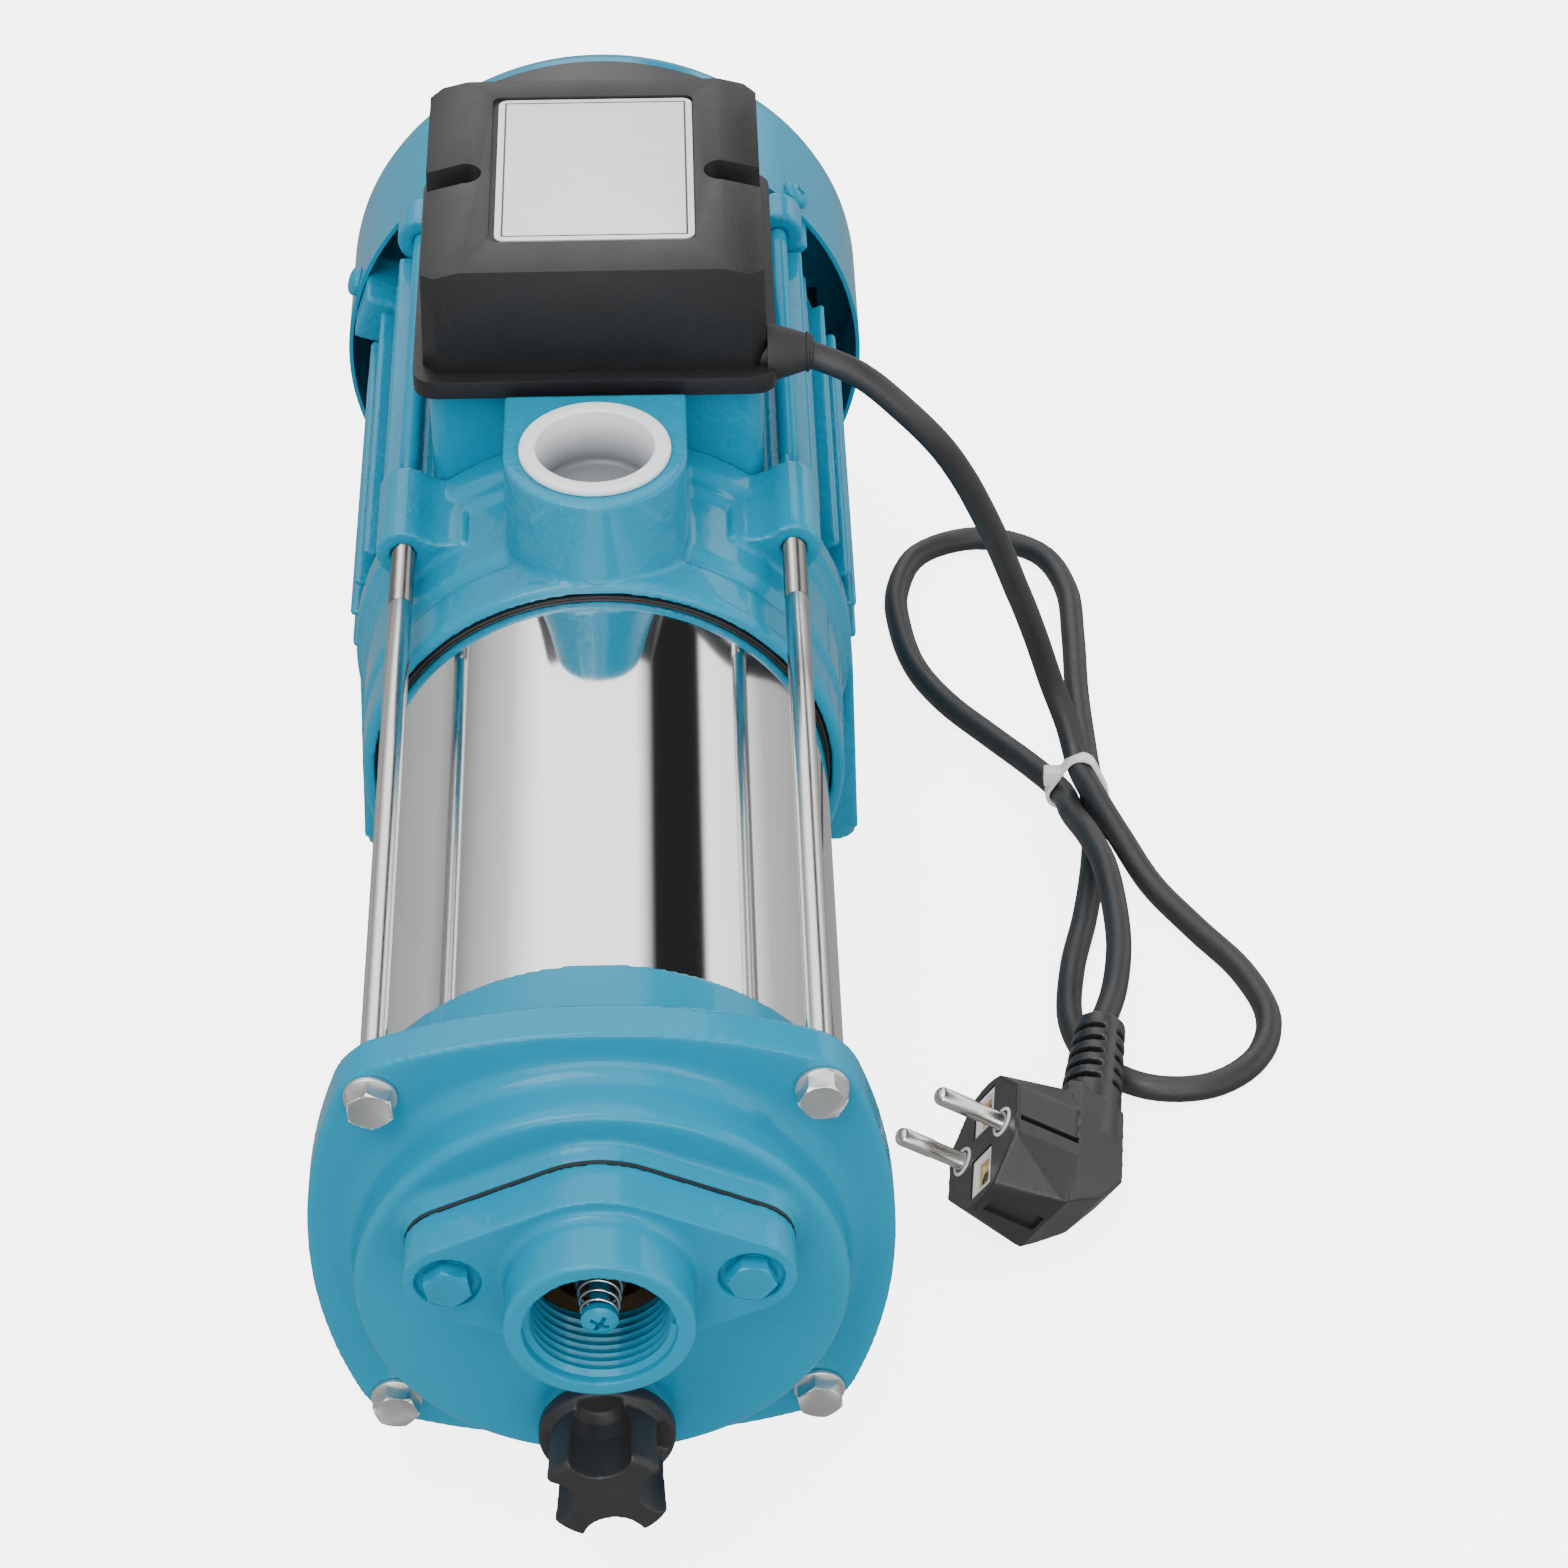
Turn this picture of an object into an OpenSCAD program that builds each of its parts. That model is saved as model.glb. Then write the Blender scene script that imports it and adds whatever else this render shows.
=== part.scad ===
// Horizontal multistage centrifugal water pump with its motor, mains lead and plug.
// Origin: centre of the foot's base face. +Y runs from the suction port to the motor, +Z is up.

/* [Stand] */
// Gap between the fan cover and the floor
floor_gap = 6.5; // [4.5:0.5:20]
// Length of the foot along the shaft
foot_len = 100; // [86:1:104]
// Width of the foot plate
foot_w = 137; // [130:1:160]
// Thickness of the foot plate
foot_t = 8.5; // [6:0.5:9]
// Distance from the motor frame's front face back to the foot
foot_setback = 6; // [4:1:8]
// Spacing of the foot's holes across the shaft
foot_hole_x = 104; // [90:1:108]
// Spacing of the foot's holes along the shaft
foot_hole_y = 70; // [56:1:72]
// Radius of the foot's holes
foot_hole_r = 4.5; // [3:0.5:5]

/* [Pump end] */
// Number of pumping stages
stage_count = 6; // [3:1:7]
// Length of one stage
stage_pitch = 22.5; // [20:0.5:25]
// Outer radius of the stainless barrel
barrel_r = 57; // [55:0.5:58]
// Wall of the barrel
barrel_wall = 1.2; // [0.8:0.1:1.6]
// Depth of barrel held in each casting
barrel_socket = 8; // [6:0.5:10]
// Gap between the barrel and a tie bolt
bolt_gap = 9.7; // [9:0.1:10.5]
// Radius of a tie bolt
tie_r = 3; // [2.5:0.5:3]
// Radius of a motor stud
stud_r = 2.5; // [2:0.5:2.5]

/* [Suction side] */
// Height of the suction port above the shaft
port_rise = 21.5; // [18:0.5:23]
// Radius of the threaded bore of both ports
port_r = 16.62; // [14:0.01:16.7]
// Outer radius of the suction boss
boss_r = 20.75; // [19.5:0.25:21]
// Length of the suction boss
boss_len = 15; // [12:1:18]
// Thickness of the suction flange
sflange_t = 11.5; // [9:0.5:13]
// Thickness of the suction flange's gasket
gasket_t = 1; // [0.5:0.5:2]
// Height of the pad under the gasket
pad_t = 4; // [3:0.5:6]
// How far the front casing's drum is set in from the barrel
drum_inset = 1.5; // [0:0.5:3]
// Length of the drum ahead of the square flange
drum_len = 14; // [12:1:18]
// Reach of the square flange past the barrel, at the middle of its sides
flange_reach = 9.4; // [8.8:0.1:12]
// Thickness of the square flange
flange_t = 10; // [8:1:12]
// Length of the spigot behind the square flange
spigot_len = 19.5; // [16:0.5:22]
// Height of the spigot over the barrel
spigot_step = 2.7; // [2.6:0.1:3.5]
// Distance of the drain plug's axis in from the drum's side
drain_inset = 15.5; // [14.5:0.5:17.5]
// Radius of the drain plug's skirt
drain_skirt_r = 15; // [12:0.5:15]

/* [Discharge side] */
// Length of the discharge casting
discharge_len = 57; // [54:1:60]
// Height of the discharge casting's front rim over the barrel
rim_step = 4.5; // [3.5:0.5:5.5]
// Height of the discharge casting's rear flange over the barrel
rear_flange_step = 8.2; // [7:0.2:9]
// Height of the outlet's top face above the shaft
outlet_rise = 84.5; // [80:0.5:88]
// Radius of the outlet boss
outlet_r = 22.75; // [21:0.25:23]
// Radius of the cap's flange
cap_flange_r = 18.8; // [18:0.1:20]
// Depth of the cap below the outlet's top face
cap_depth = 15; // [10:0.5:16]
// Radius of the ears that take the tie bolts
ear_r = 7; // [6:0.5:7.5]
// Length of the ears
ear_len = 28; // [24:1:30]

/* [Motor] */
// Distance from the foot's back to the motor frame's rear face
foot_tail = 8; // [6:1:18]
// Gap between the motor frame's tube and a stud
frame_gap = 7.2; // [6.2:0.2:8.2]
// Height of a fin
fin_h = 7.5; // [6:0.5:8]
// Thickness of a fin
fin_t = 2.2; // [1.6:0.1:3]
// Wall of the motor frame
frame_wall = 5; // [4:0.5:8]
// Distance from the stator's back to the motor frame's rear face
stator_tail = 16; // [16:1:36]
// Radius of the rotor
rotor_r = 30; // [26:0.5:31]
// Air gap between rotor and stator
air_gap = 0.4; // [0.3:0.1:0.6]
// Reach of the fan cover past the circle of the studs
cover_reach = 3.8; // [3.3:0.1:6]
// Length of the fan cover
cover_len = 53.5; // [50:0.5:60]
// Sheet thickness of the fan cover
cover_t = 1.2; // [0.8:0.1:2]
// Gap between the fan's blades and the cover
fan_gap = 10.3; // [8.3:1:22.3]

/* [Terminal box] */
// Width of the terminal box's cover
box_w = 87; // [82:1:88]
// Length of the terminal box's cover
box_len = 89.5; // [86:0.5:94]
// Height of the pedestal's top above the shaft
pedestal_rise = 81; // [79:0.5:84]
// Height of the box's base flange
base_t = 5; // [4:0.5:7]
// Height of the cover above the base flange
lid_h = 30.2; // [26:0.2:36]
// Wall of the box and its cover
box_wall = 2.4; // [1.6:0.1:3]

/* [Lead] */
// Diameter of the mains lead
cord_d = 7; // [6:0.5:7]
// Radius of the plug's face
plug_r = 18.5; // [17.5:0.5:19]
// Depth of the plug's body
plug_depth = 37.5; // [34:0.5:40]
// Length of the plug's pins
pin_len = 19; // [15:1:19]
// Distance between the plug's pins
pin_pitch = 19; // [17:1:21]
// Radius of the plug's pins
pin_r = 2.4; // [2:0.1:2.4]

/* [Hidden] */

$fn = 96;
// Overrun of a cut past the face it breaks
over = 1;
// Play round a thread, and round a piece that turns or slides
thread_play = 0.05;
run_play = 0.08;
// Gap left between faces that run past each other
face_gap = 0.3;

// Radii that follow the barrel
bolt_ring = barrel_r + bolt_gap + tie_r;
bolt_half = bolt_ring/sqrt(2);
drum_r = barrel_r - drum_inset;
drain_drop = drum_r - drain_inset;
flange_half = barrel_r + flange_reach;
spigot_r = barrel_r + spigot_step;
rim_r = barrel_r + rim_step;
rear_flange_r = barrel_r + rear_flange_step;
frame_r = bolt_ring - stud_r - frame_gap;
fin_tip_r = frame_r + fin_h;
stator_r = frame_r - frame_wall;
cover_r = bolt_ring + cover_reach;
fan_r = cover_r - cover_t - fan_gap;
axis_h = cover_r + floor_gap;

// Stations along the shaft, from the motor frame forwards and backwards
frame_len = foot_setback + foot_len + foot_tail;
y_frame = -foot_len/2 - foot_setback;
y_dis = y_frame - discharge_len;
// Reach of the discharge casting's collar into the barrel
collar_reach = 2;
inlet_plate_t = 5;
y_stack_end = y_dis - collar_reach;
y_stack = y_stack_end - stage_count*stage_pitch;
y_barrel = y_stack - inlet_plate_t;
y_barrel_end = y_dis + barrel_socket;
y_spigot = y_barrel + barrel_socket;
y_flange_back = y_spigot - spigot_len;
y_flange = y_flange_back - flange_t;
y_disc = y_flange - drum_len;
y_pad = y_disc - pad_t;
y_sflange_back = y_pad - gasket_t;
y_sflange = y_sflange_back - sflange_t;
y_suction = y_sflange - boss_len;
y_frame_end = y_frame + frame_len;

// Front casing
disc_wall = 8;
rim_round = 2;
drum_fillet = 5;
cavity_step = 7;
cavity_r = barrel_r - cavity_step;
bulge_r = 137.5;
corner_round = 17;
suction_bore_r = 15;
rhomb_half = 43;
rhomb_end_r = 11;
rhomb_mid_r = 24.6;
pad_fillet = 3.5;
sbolt_x = 33;
sbolt_r = 3;
sbolt_len = 20;
hex_r = 5.6;
hex_h = 4;
spot_r = 7.2;
spot_depth = 2;
washer_r = 6;
washer_t = 1.4;
seal_w = 1.2;
seal_len = 4;
seal_proud = 0.6;
drain_boss_r = 13;
drain_boss_h = 3.5;
drain_r = 8;
drain_shank = 13;
drain_seal_t = 1.5;
drain_seal_r = 12;
drain_skirt_t = 4;
drain_reach = 17;
drain_arm_r = 12.8;
drain_root_r = 5.8;
drain_arm_share = 0.75;

// Check valve
seat_r = 16;
seat_t = 7;
seat_bore_r = 11.5;
seat_hub_r = 5.6;
seat_hub_front = 5;
spoke_w = 2.6;
spoke_t = 3;
stem_r = 2.3;
stem_front = 2.3;
stem_head_r = 4.1;
stem_head_h = 2.6;
valve_disc_r = 13;
valve_disc_t = 3;
valve_nut_t = 3.2;
valve_nut_r = 4.2;
stem_tail = 0.8;
cross_w = 1.1;
cross_len = 4.6;
cross_depth = 1.4;
spring_wire_r = 0.4;
spring_front_r = 3.9;
spring_back_r = 5;
spring_turns = 3.5;
spring_steps = 8;
spring_sides = 6;

// Stages
bowl_gap = 0.3;
bowl_wall = 3;
bowl_front_t = 2;
web_y_share = 0.64;
web_t = 2.5;
web_flow_gap = 4.5;
vane_count = 7;
vane_t = 2;
vane_in_r = 20;
neck_r = 21.5;
neck_wall = 2;
neck_len_share = 0.14;
wheel_gap = 9.5;
shroud_t = 1.6;
channel_h = 5;
blade_count = 6;
blade_t = 1.6;
blade_in_r = 20;
hub_r = 12;
shaft_pump_r = 7;
nut_r = 11;
nut_t = 9;

// Shaft, seal and bearings
shaft_seal_r = 8;
bearing_in_r = 8.5;
bearing_out_r = 20;
bearing_w = 12;
ring_wall = 3.2;
ball_r = 3;
ball_count = 8;
rear_in_r = 7.5;
rear_out_r = 17.5;
rear_bearing_w = 11;
bearing_set = 2;
core_seat_r = 11;
fan_seat_r = 6.5;
seal_web_t = 8;
seal_web_y = 29;
seal_seat_r = 15;
seal_seat_t = 6;
seal_head_r = 14;
seal_head_len = 16;
seal_face_t = 4;
seal_face_r = 12.5;
bellows_t = 3;
slinger_r = 13;
slinger_t = 2;

// Discharge casting
chamber_step = 3;
chamber_r = barrel_r - chamber_step;
rim_len = 13;
body_step = 5;
waist_step = 1.8;
groove_step = 1.4;
body_r = barrel_r + body_step;
waist_r = body_r - waist_step;
step_r = body_r + groove_step;
rear_flange_t = 8;
outlet_bore_len = 18;
passage_r = 10;
passage_shift = 5;
outlet_y = 23.5;
outlet_back = 24.5;
outlet_skirt = 3;
bearing_hub_r = 26;
hub_rib_t = 5;
hub_rib_count = 6;
register_step = 2;
register_r = stator_r + register_step;
register_len = 3;
ear_fillet = 9;
fin_inset = 9;
tie_depth = 20;
stud_depth = 6;
// Outlet cap
cap_flange_t = 2;
cap_wall = 1.9;
cap_floor = 1.6;

// Motor frame
fin_angles = [32, 22.5, 13.5, 4.5, -4.5, -13.5, -22.5, -32];
fin_start = 4;
corner_reach = 6.7;
corner_drop = 4.8;
corner_out = bolt_half + corner_reach;
corner_top = bolt_half - corner_drop;
pedestal_half = 42.6;
pedestal_tail = 24;
pedestal_len = frame_len - pedestal_tail;
pedestal_sink = 11;
pedestal_low = stator_r - pedestal_sink;
pedestal_wall = 4;
pedestal_round = 5;
pad_half = 14;
frame_pad_h = 6;
frame_pad_drop = frame_r + frame_pad_h;
lead_hole_r = 5;
lead_hole_back = 11;
winding_gap = 3;
winding_in_gap = 4;
winding_r = stator_r - winding_gap;
winding_in_r = rotor_r + winding_in_gap;
winding_len = 13;
winding_round = 4;
stator_back = 18;
stator_len = frame_len - stator_back - stator_tail;
shield_t = 12;
shield_hub_r = 23;
shield_lug_r = 7;
screw_lug_w = 14;
screw_angles = [42, 162, 282];
cover_screw_r = 2;
cover_screw_head_r = 4.2;
cover_screw_head_t = 2.4;
cover_screw_back = 6.5;
cover_screw_len = 10;
nut_af_r = 4.6;
nut_h = 4;
stud_tail = 1.5;
shield_seat = 3;
nut_sink = 3.5;

// Fan and cover
fan_blades = 8;
fan_blade_t = 2;
fan_blade_len = 20;
fan_disc_t = 2;
fan_hub_r = 13;
fan_back = 17;
clip_t = 1.2;
clip_r = 9;
cover_corner_r = 13;
cover_gap = 2;
slot_count = 24;
slot_w = 3.4;
slot_in_r = 24;
slot_out_r = 50;
cover_dish_r = 18;

// Foot
foot_wall_t = 5;
foot_top_drop = 24;
foot_top = axis_h - foot_top_drop;
foot_top_inset = 1.5;
foot_web_t = 6;
foot_screw_r = 3;
foot_screw_y = 30;
foot_screw_head_r = 5.5;
foot_screw_head_h = 5;
foot_pillar_r = 10;
foot_corner_r = 6;
foot_slope_share = 0.82;

// Terminal box
base_over_w = 5;
base_over_len = 5.5;
base_corner_r = 6;
box_front = 1.4;
base_front = 4;
lid_bevel_w = 10.5;
lid_bevel_h = 2.6;
lid_draft = 0.8;
lid_corner = 4;
lid_gasket_t = 1;
recess_w = 52;
recess_len = 68;
recess_depth = 1;
recess_y = 47.5;
notch_r = 4.6;
notch_x = 33;
notch_y = 45.3;
notch_floor = 14;
box_screw_r = 1.9;
box_screw_head_r = 3.6;
box_screw_head_h = 2.2;
cap_can_r = 12;
cap_can_len = 56;
cap_can_x = -12;
block_w = 34;
block_len = 16;
block_h = 12;
block_ways = 3;
gland_y = 7;
gland_up = 5;
gland_r = 7.4;
gland_tip_r = 4.6;
gland_len = 9;
gland_collar_r = 4.8;
gland_collar_t = 2;
gland_bore_depth = 4;

// Route of the lead's centre line from the gland to the plug, laid out by hand
cord_route = [
    [67, -53.4, 160.6], [78.7, -56, 150.8], [87.9, -55.7, 139.5], [94.4, -52.8, 126.9],
    [99.3, -48.1, 113.9], [103.5, -42.5, 101], [107.3, -36.6, 88], [111, -31.1, 74.8], [115, -26.3, 61.4],
    [119.1, -23.4, 47.5], [123.3, -23.4, 33.6], [127.9, -27.9, 22], [131, -37, 13.6], [135.4, -49, 11.2],
    [140.8, -62, 8.8], [148, -77, 5.2], [158.5, -93, 3.5], [169, -110, 3.5], [174, -128, 3.5],
    [169, -143.4, 3.5], [156, -152.9, 3.5], [139.6, -152.9, 3.5], [126.5, -143.4, 3.5], [121.5, -128, 3.5],
    [123.5, -108, 3.5], [128.5, -88, 3.5], [132, -70, 3.5], [134, -54, 4], [134.7, -37, 4.95],
    [134.5, -18, 4], [134.4, 8, 3.5], [135.4, 34, 3.5], [135.2, 57, 3.5], [128, 75, 3.5], [110, 82.5, 3.5],
    [92.2, 75, 3.5], [84.8, 57, 3.5], [84.9, 39, 3.5], [88.5, 21, 3.5], [96.5, 5, 3.5], [108, -10, 3.5],
    [119, -24.5, 4], [126.4, -37, 5], [127.9, -50.8, 9.3], [130.9, -65.2, 14.2], [133.8, -80.4, 16.9],
    [135.1, -96.2, 16.8], [135, -112.5, 15.8], [132.3, -128.4, 14.7]];
cord_sides = 10;

// Cable tie round three points of the route, where it passes the same station
tie_points = [12, 28, 42];
tie_play = 0.15;
tie_band_t = 1.1;
tie_band_w = 3.6;
tie_head = [5.4, 5, 5.2];
tie_head_shift = [-7, 3.4];

// Mains plug, in its own frame: face at the origin, pins along -X, lead along +Y
plug_at = [92.9, -193.5, 25.9];
plug_turn = [6, 29.5, -3.1];
plug_rim_t = 18.5;
plug_cut = 13.2;
plug_side = 17.2;
plug_waist_x = 22;
plug_waist = 11;
plug_back_half = 6.5;
plug_keel = 18;
plug_keel_x = 30;
plug_keel_y = 10;
plug_shoulder = 22.5;
relief_x = 30.5;
relief_tilt = 5;
relief_y = 20;
relief_len = 34;
relief_r = 9;
relief_tip_r = 6.6;
relief_slots = 5;
relief_slot_w = 1.8;
relief_slot_pitch = 4.6;
relief_slot_core = 4.6;
relief_strip = 3.4;
relief_slot_y = 9.5;
pin_collar_r = 3.3;
pin_collar_t = 1;
pin_root = 8;
earth_w = 6;
earth_t = 1;
earth_len = 9;
earth_y = 16;
earth_in = 5;

// Points of an arc about a centre, from one angle to another
function arc(c, r, a0, a1, steps) =
    [for (i = [0:steps]) let (a = a0 + (a1 - a0)*i/steps) c + r*[cos(a), sin(a)]];
function unit(v) = v/norm(v);
function flat(lists) = [for (one = lists) for (p = one) p];

// A solid turned about the shaft from points of radius and station
module turned(points) {
    translate([0, 0, axis_h]) rotate([-90, 0, 0]) rotate_extrude() polygon(points);
}
// A ring or disc about the shaft, or about an axis beside it
module disc(y0, y1, r, hole = 0, at = [0, 0]) {
    translate([at[0], y0, axis_h + at[1]]) rotate([-90, 0, 0]) difference() {
        cylinder(h = y1 - y0, r = r);
        if (hole > 0) translate([0, 0, -over]) cylinder(h = y1 - y0 + 2*over, r = hole);
    }
}
// A flat outline in X and Z from the shaft, between two stations
module slab(y0, y1) {
    translate([0, y1, axis_h]) rotate([90, 0, 0]) linear_extrude(height = y1 - y0) children();
}
// Copies at the four bolt corners
module corners() {
    for (x = [-1, 1]) for (z = [-1, 1]) translate([x*bolt_half, 0, z*bolt_half]) children();
}
// A hexagon bolt or nut blank along the shaft, flats level
module hexagon(y0, h, r) {
    translate([0, y0, axis_h]) rotate([-90, 0, 0]) cylinder(h = h, r = r, $fn = 6);
}

// Suction flange outline: two small ends joined to a larger middle by straight sides
function rhomb(end_r, mid_r, half) =
    let (d = half - end_r, a = acos((mid_r - end_r)/d))
    flat([arc([d, 0], end_r, -a, a, 10), arc([0, 0], mid_r, a, 180 - a, 12),
          arc([-d, 0], end_r, 180 - a, 180 + a, 10), arc([0, 0], mid_r, 180 + a, 360 - a, 12)]);

// Square flange outline: four bulged sides and round corners
function flange_outline() =
    let (cb = flange_half - bulge_r, c0 = [bulge_r - corner_round, 0],
         k = corner_of_bulge(cb), e = atan2(k - cb, k))
    flat([for (q = [0:3]) [for (p = flat([arc([k, k], corner_round, 90 - e, e, 6),
          arc([0, cb], bulge_r, e, 180 - e, 24)])) turn(p, 90*q)]]);
// The corner circle touches two bulges, so its centre lies on the diagonal
function corner_of_bulge(cb) =
    let (r = bulge_r - corner_round) (cb + sqrt(cb*cb - 2*(cb*cb - r*r)))/2;
function turn(p, a) = [p[0]*cos(a) - p[1]*sin(a), p[0]*sin(a) + p[1]*cos(a)];

module front_casing() color("deepskyblue") difference() {
    union() {
        turned(flat([[[0, y_disc]], arc([drum_r - rim_round, y_disc + rim_round], rim_round, -90, 0, 5),
            arc([drum_r + drum_fillet, y_flange - drum_fillet], drum_fillet, 180, 90, 6),
            [[drum_r + drum_fillet, y_flange_back], [spigot_r, y_flange_back], [spigot_r, y_spigot],
             [0, y_spigot]]]));
        slab(y_flange, y_flange_back) polygon(flange_outline());
        translate([0, 0, port_rise]) for (i = [0:3])
            slab(y_pad + pad_t*i/4, y_disc + over) offset_rhomb(pad_grow(i));
        disc(y_disc - drain_boss_h, y_disc + over, drain_boss_r, 0, [0, -drain_drop]);
    }
    disc(y_disc + disc_wall, y_barrel + over, cavity_r);
    disc(y_barrel, y_spigot + over, barrel_r + thread_play);
    disc(y_spigot - seal_len, y_spigot + over, barrel_r + seal_w);
    disc(y_pad - over, y_disc + disc_wall + over, suction_bore_r, 0, [0, port_rise]);
    disc(y_disc - drain_boss_h - over, y_disc + disc_wall + over, drain_r + run_play, 0, [0, -drain_drop]);
    for (x = [-1, 1]) disc(y_pad - over, y_sflange + spot_depth + sbolt_len + over,
        sbolt_r + thread_play, 0, [x*sbolt_x, port_rise]);
    corners() disc(y_flange - over, y_flange_back + over, tie_r + thread_play);
}
// The pad widens towards the disc in a stepped hollow fillet
function pad_grow(i) = pad_fillet*(1 - sqrt(1 - pow(i/4, 2)));
module offset_rhomb(grow) polygon(rhomb(rhomb_end_r + grow, rhomb_mid_r + grow, rhomb_half + grow));

module suction_flange() color("deepskyblue") difference() {
    union() {
        translate([0, 0, port_rise]) slab(y_sflange, y_sflange_back)
            polygon(rhomb(rhomb_end_r, rhomb_mid_r, rhomb_half));
        translate([0, 0, port_rise]) turned(flat([[[0, y_sflange + over]], [[0, y_suction]],
            arc([boss_r - rim_round/2, y_suction + rim_round/2], rim_round/2, -90, 0, 4),
            arc([boss_r + rim_round, y_sflange - rim_round], rim_round, 180, 90, 4),
            [[boss_r + rim_round, y_sflange + over]]]));
    }
    disc(y_suction - over, y_sflange_back - seat_t, port_r, 0, [0, port_rise]);
    disc(y_sflange_back - seat_t - over, y_sflange_back + over, seat_r + thread_play, 0, [0, port_rise]);
    for (x = [-1, 1]) {
        disc(y_sflange - over, y_sflange_back + over, sbolt_r + thread_play, 0, [x*sbolt_x, port_rise]);
        disc(y_sflange - over, y_sflange + spot_depth, spot_r, 0, [x*sbolt_x, port_rise]);
    }
}

module flange_gasket() color("black") difference() {
    translate([0, 0, port_rise]) slab(y_sflange_back, y_pad)
        polygon(rhomb(rhomb_end_r, rhomb_mid_r, rhomb_half));
    disc(y_sflange_back - over, y_pad + over, suction_bore_r, 0, [0, port_rise]);
    for (x = [-1, 1])
        disc(y_sflange_back - over, y_pad + over, sbolt_r + thread_play, 0, [x*sbolt_x, port_rise]);
}

module flange_bolts() color("deepskyblue") for (x = [-1, 1]) translate([x*sbolt_x, 0, port_rise]) {
    hexagon(y_sflange + spot_depth - hex_h, hex_h, hex_r);
    disc(y_sflange + spot_depth, y_sflange + spot_depth + sbolt_len, sbolt_r);
}

// Spider that carries the valve stem, pressed into the back of the suction flange
y_seat = y_sflange_back - seat_t;
module valve_seat() color("gold") translate([0, 0, port_rise]) {
    disc(y_seat, y_sflange_back, seat_r, seat_bore_r);
    difference() {
        union() {
            disc(y_seat - seat_hub_front, y_seat + spoke_t, seat_hub_r);
            for (a = [90, 210, 330]) translate([0, y_seat, axis_h]) rotate([0, a, 0])
                translate([0, 0, -spoke_w/2]) cube([seat_bore_r + bowl_wall/2, spoke_t, spoke_w]);
        }
        disc(y_seat - seat_hub_front - over, y_seat + spoke_t + over, stem_r + run_play);
    }
}

y_valve_disc = y_sflange_back + face_gap/3;
y_valve_nut = y_valve_disc + valve_disc_t;
y_head = y_suction + stem_front;
module valve_stem() color("deepskyblue") translate([0, 0, port_rise]) difference() {
    union() {
        turned(flat([[[0, y_head]], arc([0, y_head + stem_head_h + stem_head_r], stem_head_r*1.7, -90,
            -54, 5), [[stem_head_r, y_head + stem_head_h], [0, y_head + stem_head_h]]]));
        disc(y_head + stem_head_h - stem_tail, y_valve_nut + valve_nut_t + stem_tail, stem_r);
        hexagon(y_valve_nut, valve_nut_t, valve_nut_r);
    }
    for (a = [30, 120]) translate([0, y_head, axis_h]) rotate([0, a, 0])
        translate([-cross_len/2, -over, -cross_w/2]) cube([cross_len, over + cross_depth, cross_w]);
}

module valve_disc() color("dimgray") translate([0, 0, port_rise])
    disc(y_valve_disc, y_valve_nut, valve_disc_r, stem_r + thread_play);

// Conical spring wound round the stem, one tube swept along a helix
y_spring = y_head + stem_head_h + spring_wire_r;
y_spring_end = y_seat - seat_hub_front - spring_wire_r;
spring_count = spring_turns*spring_steps;
spring_path = [for (i = [0:spring_count])
    let (f = i/spring_count, a = 360*i/spring_steps, r = spring_front_r + (spring_back_r - spring_front_r)*f)
    [r*cos(a), y_spring + (y_spring_end - y_spring)*f, axis_h + port_rise + r*sin(a)]];
spring_gap = min([for (i = [0:spring_count]) for (j = [i + spring_steps/2:spring_count])
    norm(spring_path[i] - spring_path[j]) - 2*spring_wire_r]);
echo("Least gap of the valve spring to itself", spring_gap);
module valve_spring() color("silver") sweep(spring_path, spring_wire_r, spring_sides);

// A round tube swept along points, with one ring at each point and no twist
function tangent(p, i) = unit(p[min(i + 1, len(p) - 1)] - p[max(i - 1, 0)]);
function carried(p, i, n) = let (t = tangent(p, i)) unit(n - t*(n*t));
function normals(p, i, n) = i == len(p) ? [] : let (m = carried(p, i, n)) concat([m], normals(p, i + 1, m));
module sweep(p, r, sides) {
    n = normals(p, 0, cross(tangent(p, 0), unit([1, 2, 3])));
    last = len(p) - 1;
    points = [for (i = [0:last]) let (b = cross(tangent(p, i), n[i]))
        for (k = [0:sides - 1]) p[i] + r*(n[i]*cos(360*k/sides) + b*sin(360*k/sides))];
    walls = [for (i = [0:last - 1]) for (k = [0:sides - 1]) let (m = (k + 1) % sides)
        each [[i*sides + k, (i + 1)*sides + m, i*sides + m], [i*sides + k, (i + 1)*sides + k, (i + 1)*sides + m]]];
    front = [for (k = [1:sides - 2]) [0, k, k + 1]];
    back = [for (k = [1:sides - 2]) [last*sides, last*sides + k + 1, last*sides + k]];
    polyhedron(points = points, faces = [for (f = concat(walls, front, back)) [f[2], f[1], f[0]]]);
}

// Drain plug: a four-armed knob on a round skirt, with a shank into the casing
y_drain = y_disc - drain_boss_h;
y_skirt = y_drain - drain_seal_t;
function knob_r(a) = drain_root_r + (drain_arm_r - drain_root_r)*pow((1 - cos(4*a))/2, drain_arm_share);
module drain_plug() color("black") translate([0, 0, -drain_drop]) {
    turned(flat([[[0, y_skirt - drain_skirt_t]],
        arc([drain_skirt_r - rim_round/2, y_skirt - drain_skirt_t + rim_round/2], rim_round/2, -90, 0, 4),
        [[drain_skirt_r, y_skirt], [drain_r, y_skirt], [drain_r, y_drain + drain_shank], [0, y_drain + drain_shank]]]));
    slab(y_skirt - drain_skirt_t - drain_reach, y_skirt - drain_skirt_t + over)
        polygon([for (i = [0:71]) knob_r(5*i)*[cos(5*i), sin(5*i)]]);
}
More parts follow.
